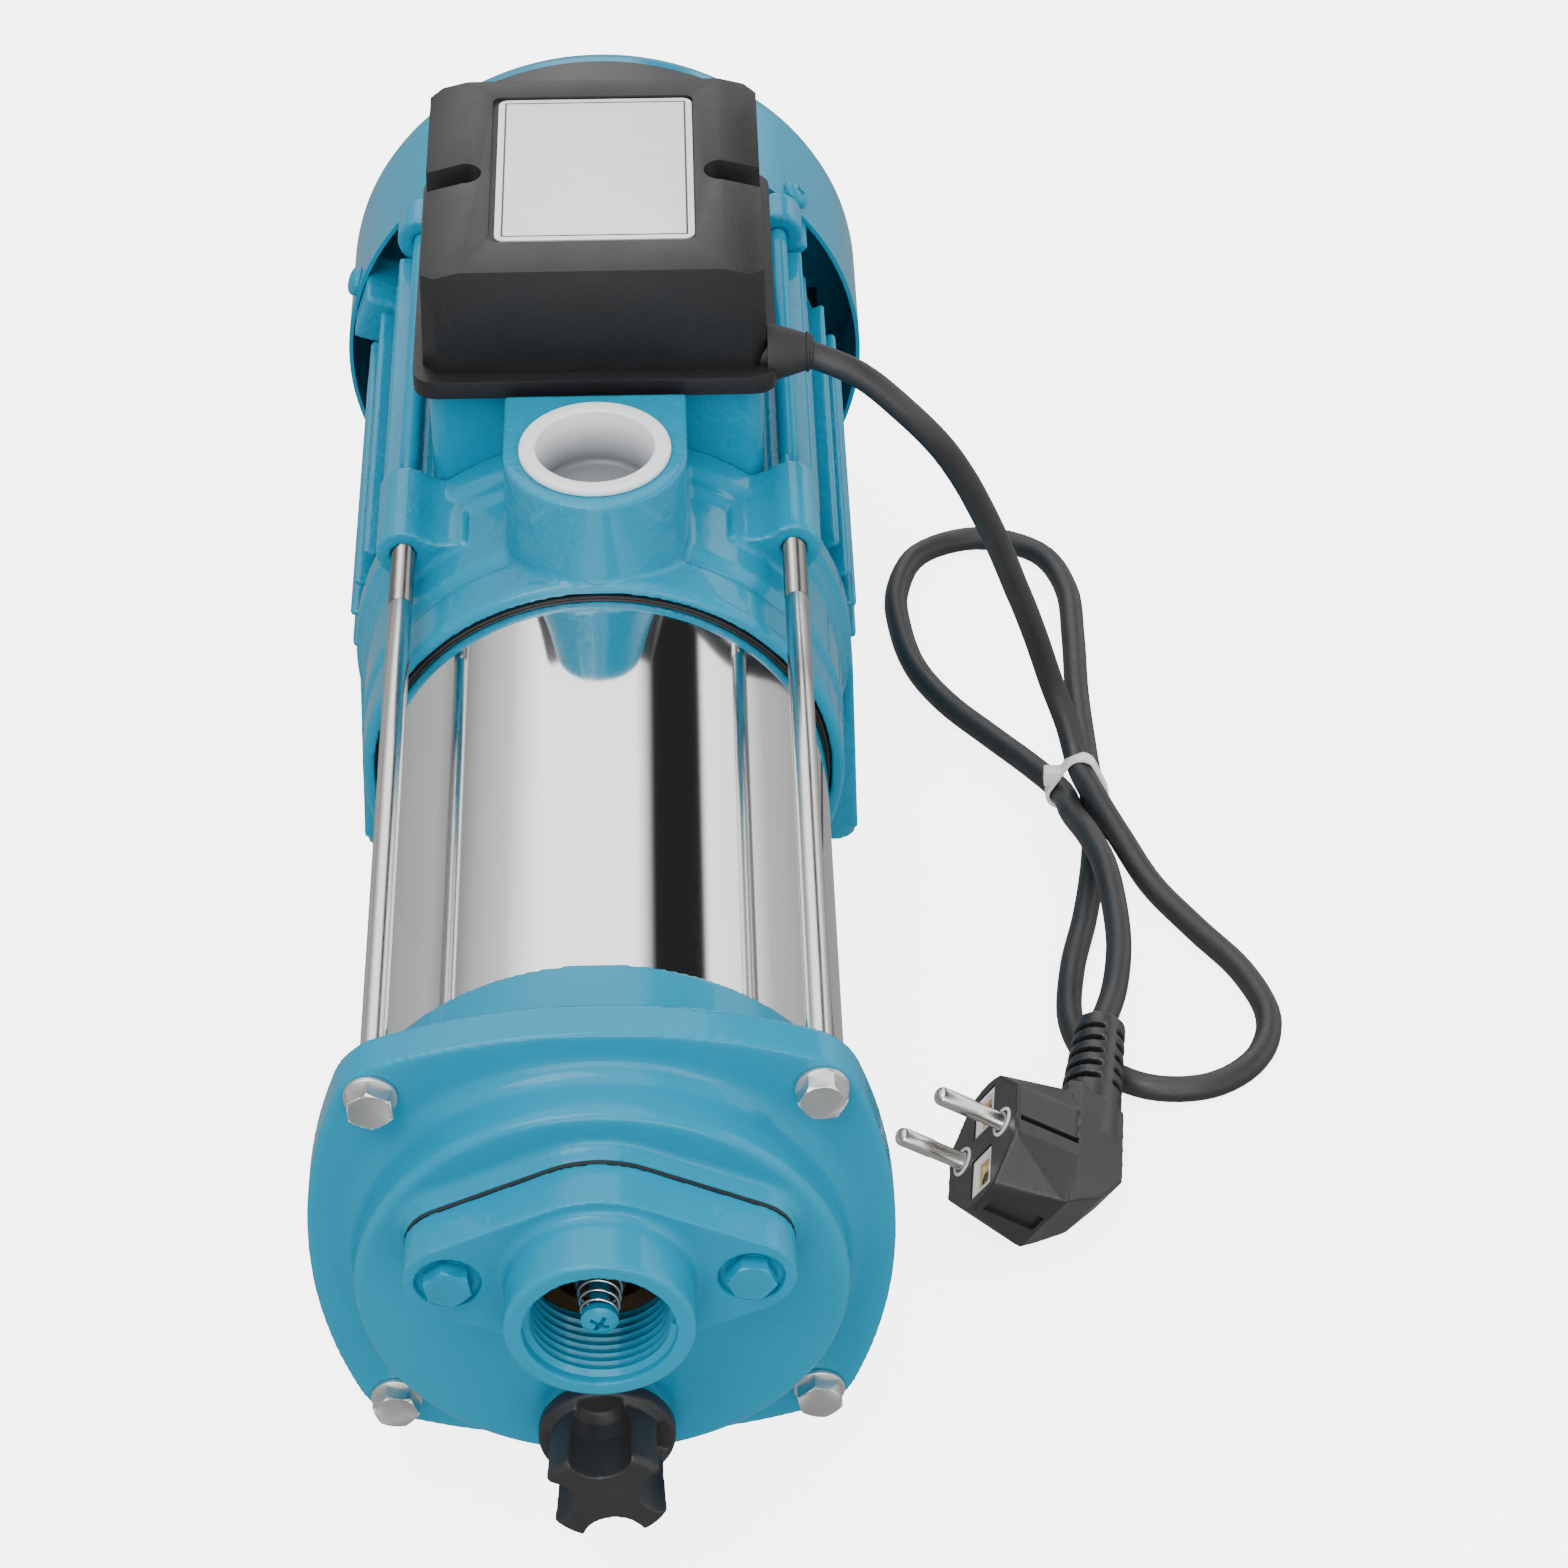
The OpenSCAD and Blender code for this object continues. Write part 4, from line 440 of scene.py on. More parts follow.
# Cable tie. A white nylon strap drawn tight round the three strands of the lead where they cross. It
# is moulded in one piece, and its edges are slightly rounded.
white_nylon, wire, feed = material("white_nylon", Subsurface_Weight=0.15, Subsurface_Scale=0.002)
feed(Base_Color=wire.blend(wire.noise(80, 2), (0.70, 0.70, 0.68), (0.84, 0.84, 0.82)),
     Roughness=0.32 + 0.16 * wire.noise(150, 2), Normal=wire.bump(wire.noise(600, 2), 0.0001, 0.3))
tie = softened(copied("tie_strap", "cable_tie"), 0.0003, 2)
fit(tie, white_nylon, ["cable_tie"])


# Shaft, rotor and bearings. A ground stainless shaft with the laminated rotor pressed on it, carried by
# two ball bearings of polished chrome steel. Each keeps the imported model's own shape.
ground_steel, wire, feed = material("ground_steel", Metallic=1.0)
rings = wire.noise(60, 2, stretch=(0.2, 14, 0.2))
feed(Base_Color=wire.blend(rings, (0.50, 0.50, 0.51), (0.68, 0.68, 0.69)),
     Roughness=0.16 + 0.2 * rings, Normal=wire.bump(rings, 0.00006, 0.5))
dress(ground_steel, "shaft", "fan_clip", "impeller_nut")
race_steel, wire, feed = material("race_steel", Metallic=1.0)
feed(Base_Color=wire.blend(wire.noise(90, 2), (0.60, 0.60, 0.61), (0.72, 0.72, 0.74)),
     Roughness=0.08 + 0.1 * wire.noise(140, 2))
dress(race_steel, "front_bearing_outer", "front_bearing_inner", "rear_bearing_outer", "rear_bearing_inner",
      "bearing_balls")
laminated_steel, wire, feed = material("laminated_steel", Metallic=0.85)
sheets = wire.node("TexWave", {"wave_type": "BANDS", "bands_direction": "Y"},
                   {"Vector": wire.place(), "Scale": 320.0, "Distortion": 0.4, "Detail": 1.0}, "Fac")
feed(Base_Color=wire.blend(sheets * wire.noise(40, 3), (0.10, 0.105, 0.12), (0.30, 0.31, 0.34)),
     Roughness=0.38 + 0.2 * wire.noise(120, 3), Normal=wire.bump(sheets, 0.0001, 0.6))
dress(laminated_steel, "rotor_core", "stator_core")


# Stator windings. Enamelled copper wire laid in the slots and laced into a ring at each end, then
# dipped in amber varnish.
varnished_copper, wire, feed = material("varnished_copper", Metallic=0.75, Coat_Weight=0.4)
strands = wire.node("TexWave", {"wave_type": "RINGS", "rings_direction": "Y"},
                    {"Vector": wire.node("Mapping", None, {"Vector": wire.place(), "Location": (0, 0, -0.08)}),
                     "Scale": 260.0, "Distortion": 5.0, "Detail": 2.0}, "Fac")
feed(Base_Color=wire.blend(strands, (0.20, 0.055, 0.018), (0.62, 0.22, 0.08)),
     Roughness=0.26 + 0.22 * wire.noise(200, 2), Normal=wire.bump(strands, 0.0003, 0.7))
dress(varnished_copper, "windings")


# Motor frame, rear shield and foot. Sand-cast and pressure-cast aluminium under a thick coat of glossy
# cyan-blue paint, which follows the grain of the casting and pools in its corners.
def paint_coat(name, deep, light, grain, wave, dull, shine):
    """Enamel: its two shades, the height of its grain and of its waves, how dull and how glossy it is."""
    coat, wire, feed = material(name, Coat_Weight=shine, Coat_Roughness=0.05, Specular_IOR_Level=0.1)
    patch = wire.noise(26, 3).ramp((0.38, 0.15), (0.62, 1.0))
    skin = wire.noise(420, 4, 0.6) * grain * patch
    feed(Base_Color=wire.blend(wire.noise(18, 4), deep, light),
         Roughness=dull + 0.16 * wire.noise(160, 3) * patch,
         Normal=wire.bump(skin + wave * wire.noise(95, 2), 0.001, 0.7))
    return coat


cast_deep, cast_light = (0.0, 0.20, 0.335), (0.0, 0.25, 0.405)
cast_paint = paint_coat("blue_cast_paint", cast_deep, cast_light, 0.85, 0.7, 0.2, 0.4)
smooth_paint = paint_coat("blue_smooth_paint", cast_deep, cast_light, 0.24, 0.22, 0.17, 0.24)
frame_piece = recast(copied("motor_frame_casting", "motor_frame"), 0.0009, 4)
fit(frame_piece, cast_paint, ["motor_frame"])
shield_piece = recast(copied("rear_shield_casting", "rear_shield"), 0.0008, 4)
fit(shield_piece, cast_paint, ["rear_shield"])
foot_piece = recast(copied("foot_casting", "foot"), 0.0009, 5)
fit(foot_piece, cast_paint, ["foot"])


# Studs, nuts and screws of the motor. Painted studs tie the motor frame between the casting and the
# rear shield; bright screws hold the foot up to the frame's pads.
stud_r, nut_r, nut_h = 0.0025, 0.0046, 0.004
bolt_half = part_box("motor_studs")[1].x - stud_r
axis_z = 0.08
corners = [(x, z) for x in (-bolt_half, bolt_half) for z in (axis_z - bolt_half, axis_z + bolt_half)]
along_y = Matrix.Rotation(math.radians(-90), 4, "X")
towards_front = Matrix.Rotation(math.radians(90), 4, "X")


def wound(name, root, crest, pitch, turns, steps=32):
    """One thread ridge about Z: a three-cornered tooth, screwed up by one pitch a turn."""
    bpy.ops.object.select_all(action="DESELECT")
    bpy.ops.mesh.primitive_circle_add(vertices=3, radius=pitch)
    ridge = bpy.context.object
    ridge.name = name
    flanks = ((crest, 0, 0), (root, 0, -0.49 * pitch), (root, 0, 0.49 * pitch))
    for corner, spot in zip(ridge.data.vertices, flanks):
        corner.co = spot
    modify(ridge, "SCREW", axis="Z", angle=math.tau, screw_offset=pitch, iterations=turns, steps=steps,
           render_steps=steps)
    bpy.ops.object.mode_set(mode="EDIT")
    bpy.ops.mesh.select_all(action="SELECT")
    bpy.ops.mesh.fill_holes(sides=0)
    bpy.ops.mesh.normals_make_consistent(inside=False)
    bpy.ops.object.mode_set(mode="OBJECT")
    bpy.ops.object.shade_smooth_by_angle(angle=math.radians(30))
    return ridge


def hex_blank(name, corner_r, height, crown=0.0, face_r=None):
    """A hexagon head or nut that stands up from Z 0, with its corners turned off at 30 degrees."""
    head = lathe(name, [(corner_r, 0), (corner_r, height)], 6)
    low = corner_r * 0.86
    cone = lathe("cone", [(corner_r * 1.1, -height), (corner_r * 1.1, height - (corner_r * 1.1 - low) * 0.58),
                          (low, height), (low * 0.5, height + crown), (0.0001, height + crown)], 48)
    trim(head, cone, "INTERSECT")
    softened(head, corner_r * 0.03, 2, 25)
    if face_r:
        washer_face = lathe("washer_face", [(face_r, -0.0004), (face_r, 0.0002)], 48)
        head = joined(name, washer_face, head)
    return head


studs = []
stud_front, stud_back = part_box("motor_studs")[0].y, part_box("motor_studs")[1].y
stud_len, stud_thread, stud_root_r = stud_back - stud_front, 0.016, stud_r * 0.84
for x, z in corners:
    stud = lathe("stud", [(stud_root_r, 0), (stud_root_r, stud_thread), (stud_r, stud_thread + 0.0006),
                          (stud_r, stud_len - 0.0005), (stud_r - 0.0005, stud_len)], 32)
    ridge = wound("stud_thread", stud_r * 0.82, stud_r, 0.0008, 18, 24)
    studs.append(seat(joined("stud", ridge, stud), Matrix.Translation((x, stud_front, z)) @ along_y))
fit(joined("motor_stud_set", *studs), smooth_paint, ["motor_studs"])
zinc_steel, wire, feed = material("zinc_plated_steel", Metallic=1.0)
feed(Base_Color=wire.blend(wire.noise(110, 3), (0.48, 0.49, 0.50), (0.66, 0.67, 0.68)),
     Roughness=0.24 + 0.2 * wire.noise(240, 3), Normal=wire.bump(wire.noise(800, 2), 0.0001, 0.35))
nuts = []
nut_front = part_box("stud_nuts")[0].y
for index, (x, z) in enumerate(corners):
    nut = hex_blank("nut", nut_r, nut_h)
    bore = lathe("bore", [(stud_r + 0.00005, -0.01), (stud_r + 0.00005, 0.01)], 40)
    trim(nut, bore)
    turn = Matrix.Rotation(math.radians(17 * index + 5), 4, "Z")
    nuts.append(seat(nut, Matrix.Translation((x, nut_front, z)) @ along_y @ turn))
fit(joined("stud_nut_set", *nuts), zinc_steel, ["stud_nuts"])


def pan_head(name, radius, height, cross, depth):
    """A pan head that stands up from Z 0, with a cross recess."""
    head = lathe(name, [
        (radius, 0), (radius, height * 0.3), (radius * 0.94, height * 0.55), (radius * 0.76, height * 0.82),
        (radius * 0.45, height * 0.97), (0.0001, height)], 40, 60)
    for turn in (0, math.pi / 2):
        slot = block((2 * cross, cross * 0.42, 2 * depth), (0, 0, height), (0, 0, turn + 0.4))
        trim(head, slot)
    softened(head, radius * 0.025, 2, 40)
    return head


screws = []
sunk, cap_head_r, cap_head_h, cap_shank_r, cap_socket_r = 0.001, 0.0055, 0.005, 0.003, 0.0029
cap_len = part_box("foot_screws")[1].z - sunk
for y in (-0.03, 0.03):
    head = lathe("socket_head", [(0.0031, 0.0002), (cap_head_r - 0.001, 0.0002), (cap_head_r, 0.0008),
                                 (cap_head_r, cap_head_h), (cap_shank_r, cap_head_h), (cap_shank_r, cap_len),
                                 (0.0001, cap_len)], 40)
    trim(head, lathe("socket", [(cap_socket_r, -0.001), (cap_socket_r, 0.003)], 6))
    screws.append(seat(head, Matrix.Translation((0, y, sunk))))
fit(joined("foot_screw_pair", *screws), zinc_steel, ["foot_screws"])


# Fan and its cover. A black moulded fan is clipped on the shaft's tail under a pressed steel cover with
# a slotted back, held to the rear shield by three painted screws.
fan_plastic, wire, feed = material("fan_plastic", Specular_IOR_Level=0.45)
feed(Base_Color=wire.blend(wire.noise(60, 3), (0.018, 0.018, 0.02), (0.032, 0.032, 0.034)),
     Roughness=0.42 + 0.2 * wire.noise(140, 3), Normal=wire.bump(wire.noise(1200, 2), 0.0001, 0.3))
dress(fan_plastic, "fan", "slinger")
sheet_paint = paint_coat("blue_sheet_paint", (0.0, 0.22, 0.365), (0.0, 0.25, 0.405), 0.05, 0.12, 0.13, 0.28)
dress(sheet_paint, "fan_cover")
screw_angles = (42, 162, 282)
cover_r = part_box("fan_cover")[1].x
cover_front, cover_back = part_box("fan_cover")[0].y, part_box("fan_cover")[1].y
screw_y, screw_r, screw_len = cover_front + 0.0065, 0.002, 0.0105
screws = []
for index, angle in enumerate(screw_angles):
    head = pan_head("head", 0.0042, 0.0026, 0.0019, 0.0013)
    shank = lathe("shank", [(screw_r, -screw_len), (screw_r, 0.0002)], 24)
    outwards = Matrix.Translation((0, screw_y, axis_z)) @ Matrix.Rotation(math.radians(90 - angle), 4, "Y")
    turn = Matrix.Rotation(math.radians(23 * index), 4, "Z")
    screws.append(seat(joined("screw", shank, head), outwards @ Matrix.Translation((0, 0, cover_r)) @ turn))
fit(joined("cover_screw_set", *screws), smooth_paint, ["cover_screws"])


# Patch on the fan cover. A dark self-adhesive label without any print, laid over the top of the cover
# against its rounded back edge.
patch_margin, patch_half, patch_t, patch_corner, patch_draw = 0.0135, math.radians(27), 0.00018, 0.12, 0.07
patch_front, patch_back = cover_front + patch_margin, cover_back - patch_margin
bpy.ops.object.select_all(action="DESELECT")
bpy.ops.mesh.primitive_grid_add(x_subdivisions=60, y_subdivisions=24, size=2)
patch = bpy.context.object
patch.name = "cover_patch"
for point in patch.data.vertices:
    across, back = point.co.x, point.co.y
    squeeze = max(0.0, abs(back) - (1 - patch_corner)) / patch_corner
    across *= 1 - patch_draw * (1 - math.sqrt(max(0.0, 1 - squeeze ** 2)))
    angle = across * patch_half
    radius = cover_r + patch_t
    point.co = (radius * math.sin(angle), patch_front + (patch_back - patch_front) * (back + 1) / 2,
                axis_z + radius * math.cos(angle))
modify(patch, "SOLIDIFY", thickness=patch_t, offset=-1)
bpy.ops.object.shade_smooth_by_angle(angle=math.radians(40))
label_film, wire, feed = material("dark_label_film", Specular_IOR_Level=0.5)
feed(Base_Color=wire.blend(wire.noise(50, 3), (0.030, 0.031, 0.033), (0.045, 0.046, 0.048)),
     Roughness=0.42 + 0.16 * wire.noise(90, 3), Normal=wire.bump(wire.noise(300, 2), 0.00008, 0.3))
fit(patch, label_film)


# Terminal box. A black moulded base and cover with a gasket, screwed to the frame's pedestal, over the
# motor's capacitor and its terminal block. The cover's faces carry the fine spark grain of the mould.
box_plastic, wire, feed = material("box_plastic", Specular_IOR_Level=0.3)
feed(Base_Color=wire.blend(wire.noise(24, 3), (0.0095, 0.0095, 0.0105), (0.0165, 0.0165, 0.018)),
     Roughness=0.34 + 0.16 * wire.noise(110, 3), Normal=wire.bump(wire.noise(1600, 3), 0.0002, 0.35))
fit(softened(copied("terminal_box_cover", "box_lid"), 0.0007, 3), box_plastic, ["box_lid"])
fit(softened(copied("terminal_box_base", "box_base"), 0.0008, 3), box_plastic, ["box_base"])
soft_rubber, wire, feed = material("seal_rubber", Specular_IOR_Level=0.4)
feed(Base_Color=wire.blend(wire.noise(80, 3), (0.010, 0.010, 0.010), (0.020, 0.020, 0.020)),
     Roughness=0.5 + 0.2 * wire.noise(150, 3), Normal=wire.bump(wire.noise(900, 2), 0.0001, 0.3))
dress(soft_rubber, "box_gasket", "flange_gasket", "drain_seal", "valve_disc")
can_plastic, wire, feed = material("capacitor_can")
feed(Base_Color=wire.blend(wire.noise(60, 2), (0.55, 0.56, 0.57), (0.66, 0.67, 0.68)),
     Roughness=0.28 + 0.2 * wire.noise(120, 2))
dress(can_plastic, "capacitor")
dress(white_nylon, "terminal_block")
screws = []
screw_low, screw_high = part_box("box_screws")
head_r, head_h, shank_r = 0.0036, 0.0022, 0.0019
notch_x, notch_y = (screw_high.x - screw_low.x) / 2 - head_r, (screw_low.y + screw_high.y) / 2
head_z = screw_high.z - head_h
for way in (-1, 1):
    head = pan_head("head", head_r, head_h, 0.0017, 0.0012)
    shank = lathe("shank", [(shank_r, screw_low.z - head_z), (shank_r, 0.0002)], 24)
    screws.append(seat(joined("screw", shank, head), Matrix.Translation((way * notch_x, notch_y, head_z))))
fit(joined("box_screw_pair", *screws), zinc_steel, ["box_screws"])


# Cord gland. A moulded rubber boot in the box's side, which tapers from its round foot to a bead round
# the mouth that hugs the lead.
gland_low, gland_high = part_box("cable_gland")
gland_y, gland_z = (gland_low.y + gland_high.y) / 2, (gland_low.z + gland_high.z) / 2
gland_foot, gland_bore, gland_neck, gland_r, bead_r = 0.0435, 0.0036, 0.0048, 0.0073, 0.0004
inside, reach = gland_low.x - gland_foot, gland_high.x - gland_foot
gland_rings = [(gland_bore, inside), (gland_neck, inside), (gland_neck, 0), (gland_r + 0.0001, 0)]
for share in range(9):
    taper = (share / 8) ** 1.15
    gland_rings.append((gland_r - 0.0024 * taper, 0.0009 + (reach - 0.0032) * share / 8))
gland_rings += [*round_edge(gland_neck, reach - 0.0014, bead_r, -90, 90, 6), (0.0046, reach - 0.0009),
                *round_edge(0.0041, reach - bead_r, bead_r, 0, 90, 3), (gland_bore, reach),
                (gland_bore, inside)]
gland = lathe("cord_gland", gland_rings, 64)
seat(gland, Matrix.Translation((gland_foot, gland_y, gland_z)) @ Matrix.Rotation(math.radians(90), 4, "Y"))
fit(gland, soft_rubber, ["cable_gland"])


# Rating plate. A bare silver-grey foil plate with rounded corners and a fine dark border, stuck in the
# cover's shallow recess.
plate_low, plate_high = Vector((-0.0245, -0.0425)), Vector((0.0257, 0.0235))
plate_middle, plate_t, plate_corner = (plate_low + plate_high) / 2, 0.0004, 0.0025
plate_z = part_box("box_lid")[1].z - 0.0008
border_from, border_to = 0.0016, 0.0021
bpy.ops.object.select_all(action="DESELECT")
bpy.ops.mesh.primitive_cube_add(size=1, location=(*plate_middle, plate_z),
                                scale=(*(plate_high - plate_low), plate_t))
plate = bpy.context.object
plate.name = "rating_plate"
bpy.ops.object.transform_apply(location=True, rotation=True, scale=True)
bpy.ops.object.mode_set(mode="EDIT")
bpy.ops.mesh.select_mode(type="EDGE")
bpy.ops.mesh.select_all(action="DESELECT")
bpy.ops.object.mode_set(mode="OBJECT")
for edge in plate.data.edges:
    a, b = (plate.data.vertices[index].co for index in edge.vertices)
    edge.select = abs(a.z - b.z) > plate_t / 2
bpy.ops.object.mode_set(mode="EDIT")
bpy.ops.mesh.bevel(offset=plate_corner, segments=6)
bpy.ops.mesh.select_mode(type="FACE")
bpy.ops.mesh.select_all(action="DESELECT")
bpy.ops.object.mode_set(mode="OBJECT")
for face in plate.data.polygons:
    face.select = face.normal.z > 0.9
bpy.ops.object.mode_set(mode="EDIT")
bpy.ops.mesh.inset(thickness=0.0009)
bpy.ops.mesh.inset(thickness=0.0003)
bpy.ops.transform.translate(value=(0, 0, 0.0001))
bpy.ops.object.mode_set(mode="OBJECT")
bpy.ops.object.shade_smooth_by_angle(angle=math.radians(30))
plate_foil, wire, feed = material("plate_foil", Metallic=0.15, Specular_IOR_Level=0.5)
x_in = wire.math("ABSOLUTE", wire.axis("X") - plate_middle.x)
y_in = wire.math("ABSOLUTE", wire.axis("Y") - plate_middle.y)
half_x, half_y = (plate_high - plate_low) / 2
edge_in = wire.math("MINIMUM", half_x - x_in, half_y - y_in)
border = wire.math("GREATER_THAN", edge_in, border_from) * wire.math("LESS_THAN", edge_in, border_to)
brushed = wire.noise(60, 2, stretch=(1, 24, 1))
foil = wire.blend(brushed, (0.76, 0.765, 0.78), (0.84, 0.845, 0.86))
feed(Base_Color=wire.blend(border, foil, (0.03, 0.03, 0.03)),
     Roughness=0.3 + 0.14 * brushed, Normal=wire.bump(brushed, 0.00005, 0.4))
fit(plate, plate_foil)


# Discharge casting. The cast body behind the barrel: stepped rings, four ears on webs for the tie rods
# and the studs, and the upright outlet boss with its flat back.
discharge = recast(copied("discharge_body", "discharge_casting"), 0.0008, 3)
fit(discharge, cast_paint, ["discharge_casting"])
seal_ceramic, wire, feed = material("seal_ceramic")
feed(Base_Color=wire.blend(wire.noise(70, 2), (0.74, 0.72, 0.68), (0.82, 0.80, 0.76)),
     Roughness=0.22 + 0.14 * wire.noise(120, 2))
dress(seal_ceramic, "seal_seat")
bellows, wire, feed = material("seal_bellows", Specular_IOR_Level=0.45)
feed(Base_Color=wire.blend(wire.noise(90, 3), (0.020, 0.020, 0.022), (0.05, 0.05, 0.052)),
     Roughness=0.3 + 0.24 * wire.noise(140, 3))
dress(bellows, "seal_head")


# Transit cap in the outlet. A blown cup of milky polyethylene with a thick flat rim, pushed into the
# port by hand. Its floor carries the mark of the gate.
milky, wire, feed = material("milky_polyethylene", Subsurface_Weight=0.15, Subsurface_Scale=0.002,
                             Specular_IOR_Level=0.5)
cloud = wire.noise(55, 3)
# Painted shade: the cup's floor and lower wall are painted dark grey, darker towards the floor, for the shade
# inside the cup. Above that the plastic is milky white.
painted_cup_shade = (wire.axis("Z") - 0.1525) * 90
feed(Base_Color=wire.blend(painted_cup_shade, wire.blend(cloud, (0.15, 0.16, 0.18), (0.20, 0.21, 0.23)),
                           wire.blend(cloud, (0.78, 0.81, 0.83), (0.86, 0.88, 0.9))),
     Roughness=0.3 + 0.2 * wire.noise(130, 2), Normal=wire.bump(wire.noise(240, 2), 0.0002, 0.3))
cap_low, cap_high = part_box("outlet_cap")
cap_r, rim_top = (cap_high.x - cap_low.x) / 2, cap_high.z - cap_low.z
rim_under, cup_r, wall, floor_t = rim_top - 0.002, 0.01654, 0.0019, 0.0016
cap = lathe("outlet_transit_cap", [
    (0.0004, 0), *round_edge(cup_r - 0.002, 0.002, 0.002, -90, 0), (cup_r, rim_under),
    *round_edge(cap_r - 0.0006, rim_under + 0.0006, 0.0006, -90, 0, 3),
    *round_edge(cap_r - 0.0009, rim_top - 0.0009, 0.0009, 0, 90, 4),
    *round_edge(cup_r - wall + 0.0008, rim_top - 0.0008, 0.0008, 90, 180, 4),
    *round_edge(cup_r - wall - 0.0022, floor_t + 0.0016, 0.0016, 0, -90, 5),
    (0.0022, floor_t), (0.0019, floor_t - 0.0003), (0.0012, floor_t - 0.0003), (0.0009, floor_t + 0.0009),
    (0.0004, floor_t + 0.001)], 128)
seat(cap, Matrix.Translation(((cap_low.x + cap_high.x) / 2, (cap_low.y + cap_high.y) / 2, cap_low.z)))
fit(cap, milky, ["outlet_cap"], "outlet_plug")


# Stages. Six glass-filled resin impellers on the shaft, each in its bowl with return vanes, behind a
# flat inlet plate.
bowl_resin, wire, feed = material("bowl_resin", Specular_IOR_Level=0.45)
feed(Base_Color=wire.blend(wire.noise(50, 4), (0.060, 0.062, 0.066), (0.10, 0.102, 0.106)),
     Roughness=0.38 + 0.2 * wire.noise(160, 3), Normal=wire.bump(wire.noise(500, 3), 0.0001, 0.4))
dress(bowl_resin, "stage_bowls", "inlet_plate")
impeller_resin, wire, feed = material("impeller_resin", Specular_IOR_Level=0.45)
feed(Base_Color=wire.blend(wire.noise(60, 4), (0.45, 0.36, 0.22), (0.56, 0.46, 0.30)),
     Roughness=0.36 + 0.2 * wire.noise(150, 3), Normal=wire.bump(wire.noise(500, 3), 0.0001, 0.4))
dress(impeller_resin, "impellers")


# Barrel. A drawn stainless tube, polished to a mirror along its length, clamped between the two
# castings on black ring seals.
mirror, wire, feed = material("polished_stainless", Metallic=1.0)
drawn = wire.noise(90, 3, stretch=(1, 0.03, 1))
feed(Base_Color=wire.blend(drawn, (0.76, 0.76, 0.77), (0.84, 0.84, 0.85)),
     Roughness=0.045 + 0.05 * drawn, Normal=wire.bump(drawn, 0.00002, 0.3))
barrel_low, barrel_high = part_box("barrel")
barrel_r, barrel_wall = (barrel_high.x - barrel_low.x) / 2, 0.0012
length = barrel_high.y - barrel_low.y
stations = [length * index / 12 for index in range(13)]
barrel = lathe("barrel_tube", [*((barrel_r, along) for along in stations),
                               *((barrel_r - barrel_wall, along) for along in reversed(stations)),
                               (barrel_r, 0)], 256)
seat(barrel, Matrix.Translation((0, barrel_low.y, axis_z)) @ along_y)
fit(barrel, mirror, ["barrel"])
seal_low, seal_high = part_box("barrel_seals")
seals = []
seal_inner, seal_outer, seal_recess, seal_depth = barrel_r + 0.0001, barrel_r + 0.0007, 0.0003, 0.004
for lip, root in ((seal_low.y + seal_recess, seal_low.y + seal_depth),
                  (seal_high.y - seal_recess, seal_high.y - seal_depth)):
    front_end, back_end = sorted((lip, root))
    width = back_end - front_end
    seal = lathe("seal", [(seal_inner, 0), (seal_outer, 0), (seal_outer, width), (seal_inner, width),
                          (seal_inner, 0)], 192)
    seals.append(seat(seal, Matrix.Translation((0, front_end, axis_z)) @ along_y))
fit(joined("barrel_seal_rings", *seals), soft_rubber, ["barrel_seals"])


# Front casing. The cast suction end: a shallow drum on a square flange with bulged sides, the raised
# pad of the suction flange, and the boss of the drain plug.
front = recast(copied("front_body", "front_casing"), 0.0008, 4)
fit(front, smooth_paint, ["front_casing"])


# Check valve. A brass spider pressed in the suction flange guides a stem with a cross-slotted head; a
# small conical spring draws the rubber-faced disc on to its seat.
dull_brass, wire, feed = material("dull_brass", Metallic=0.8)
feed(Base_Color=wire.blend(wire.noise(120, 3), (0.05, 0.035, 0.018), (0.12, 0.085, 0.04)),
     Roughness=0.4 + 0.2 * wire.noise(240, 3), Normal=wire.bump(wire.noise(600, 2), 0.0001, 0.4))
dress(dull_brass, "valve_seat")
dress(smooth_paint, "valve_stem")
spring_wire, spring_front_r, spring_back_r, spring_turns = 0.0004, 0.0039, 0.005, 3.5
port_z = axis_z + 0.0215
spring_front, spring_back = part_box("valve_spring")[0].y + spring_wire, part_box("valve_spring")[1].y - spring_wire
coil = []
for index in range(int(spring_turns * 16) + 1):
    share = index / (spring_turns * 16)
    radius, angle = spring_front_r + (spring_back_r - spring_front_r) * share, math.tau * spring_turns * share
    coil.append((radius * math.cos(angle), spring_front + (spring_back - spring_front) * share,
                 port_z + radius * math.sin(angle)))
spring = strand("valve_return_spring", coil, spring_wire, 2, 4)
pick(spring)
bpy.ops.object.convert(target="MESH")
fit(spring, ground_steel, ["valve_spring"])
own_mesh(spring)


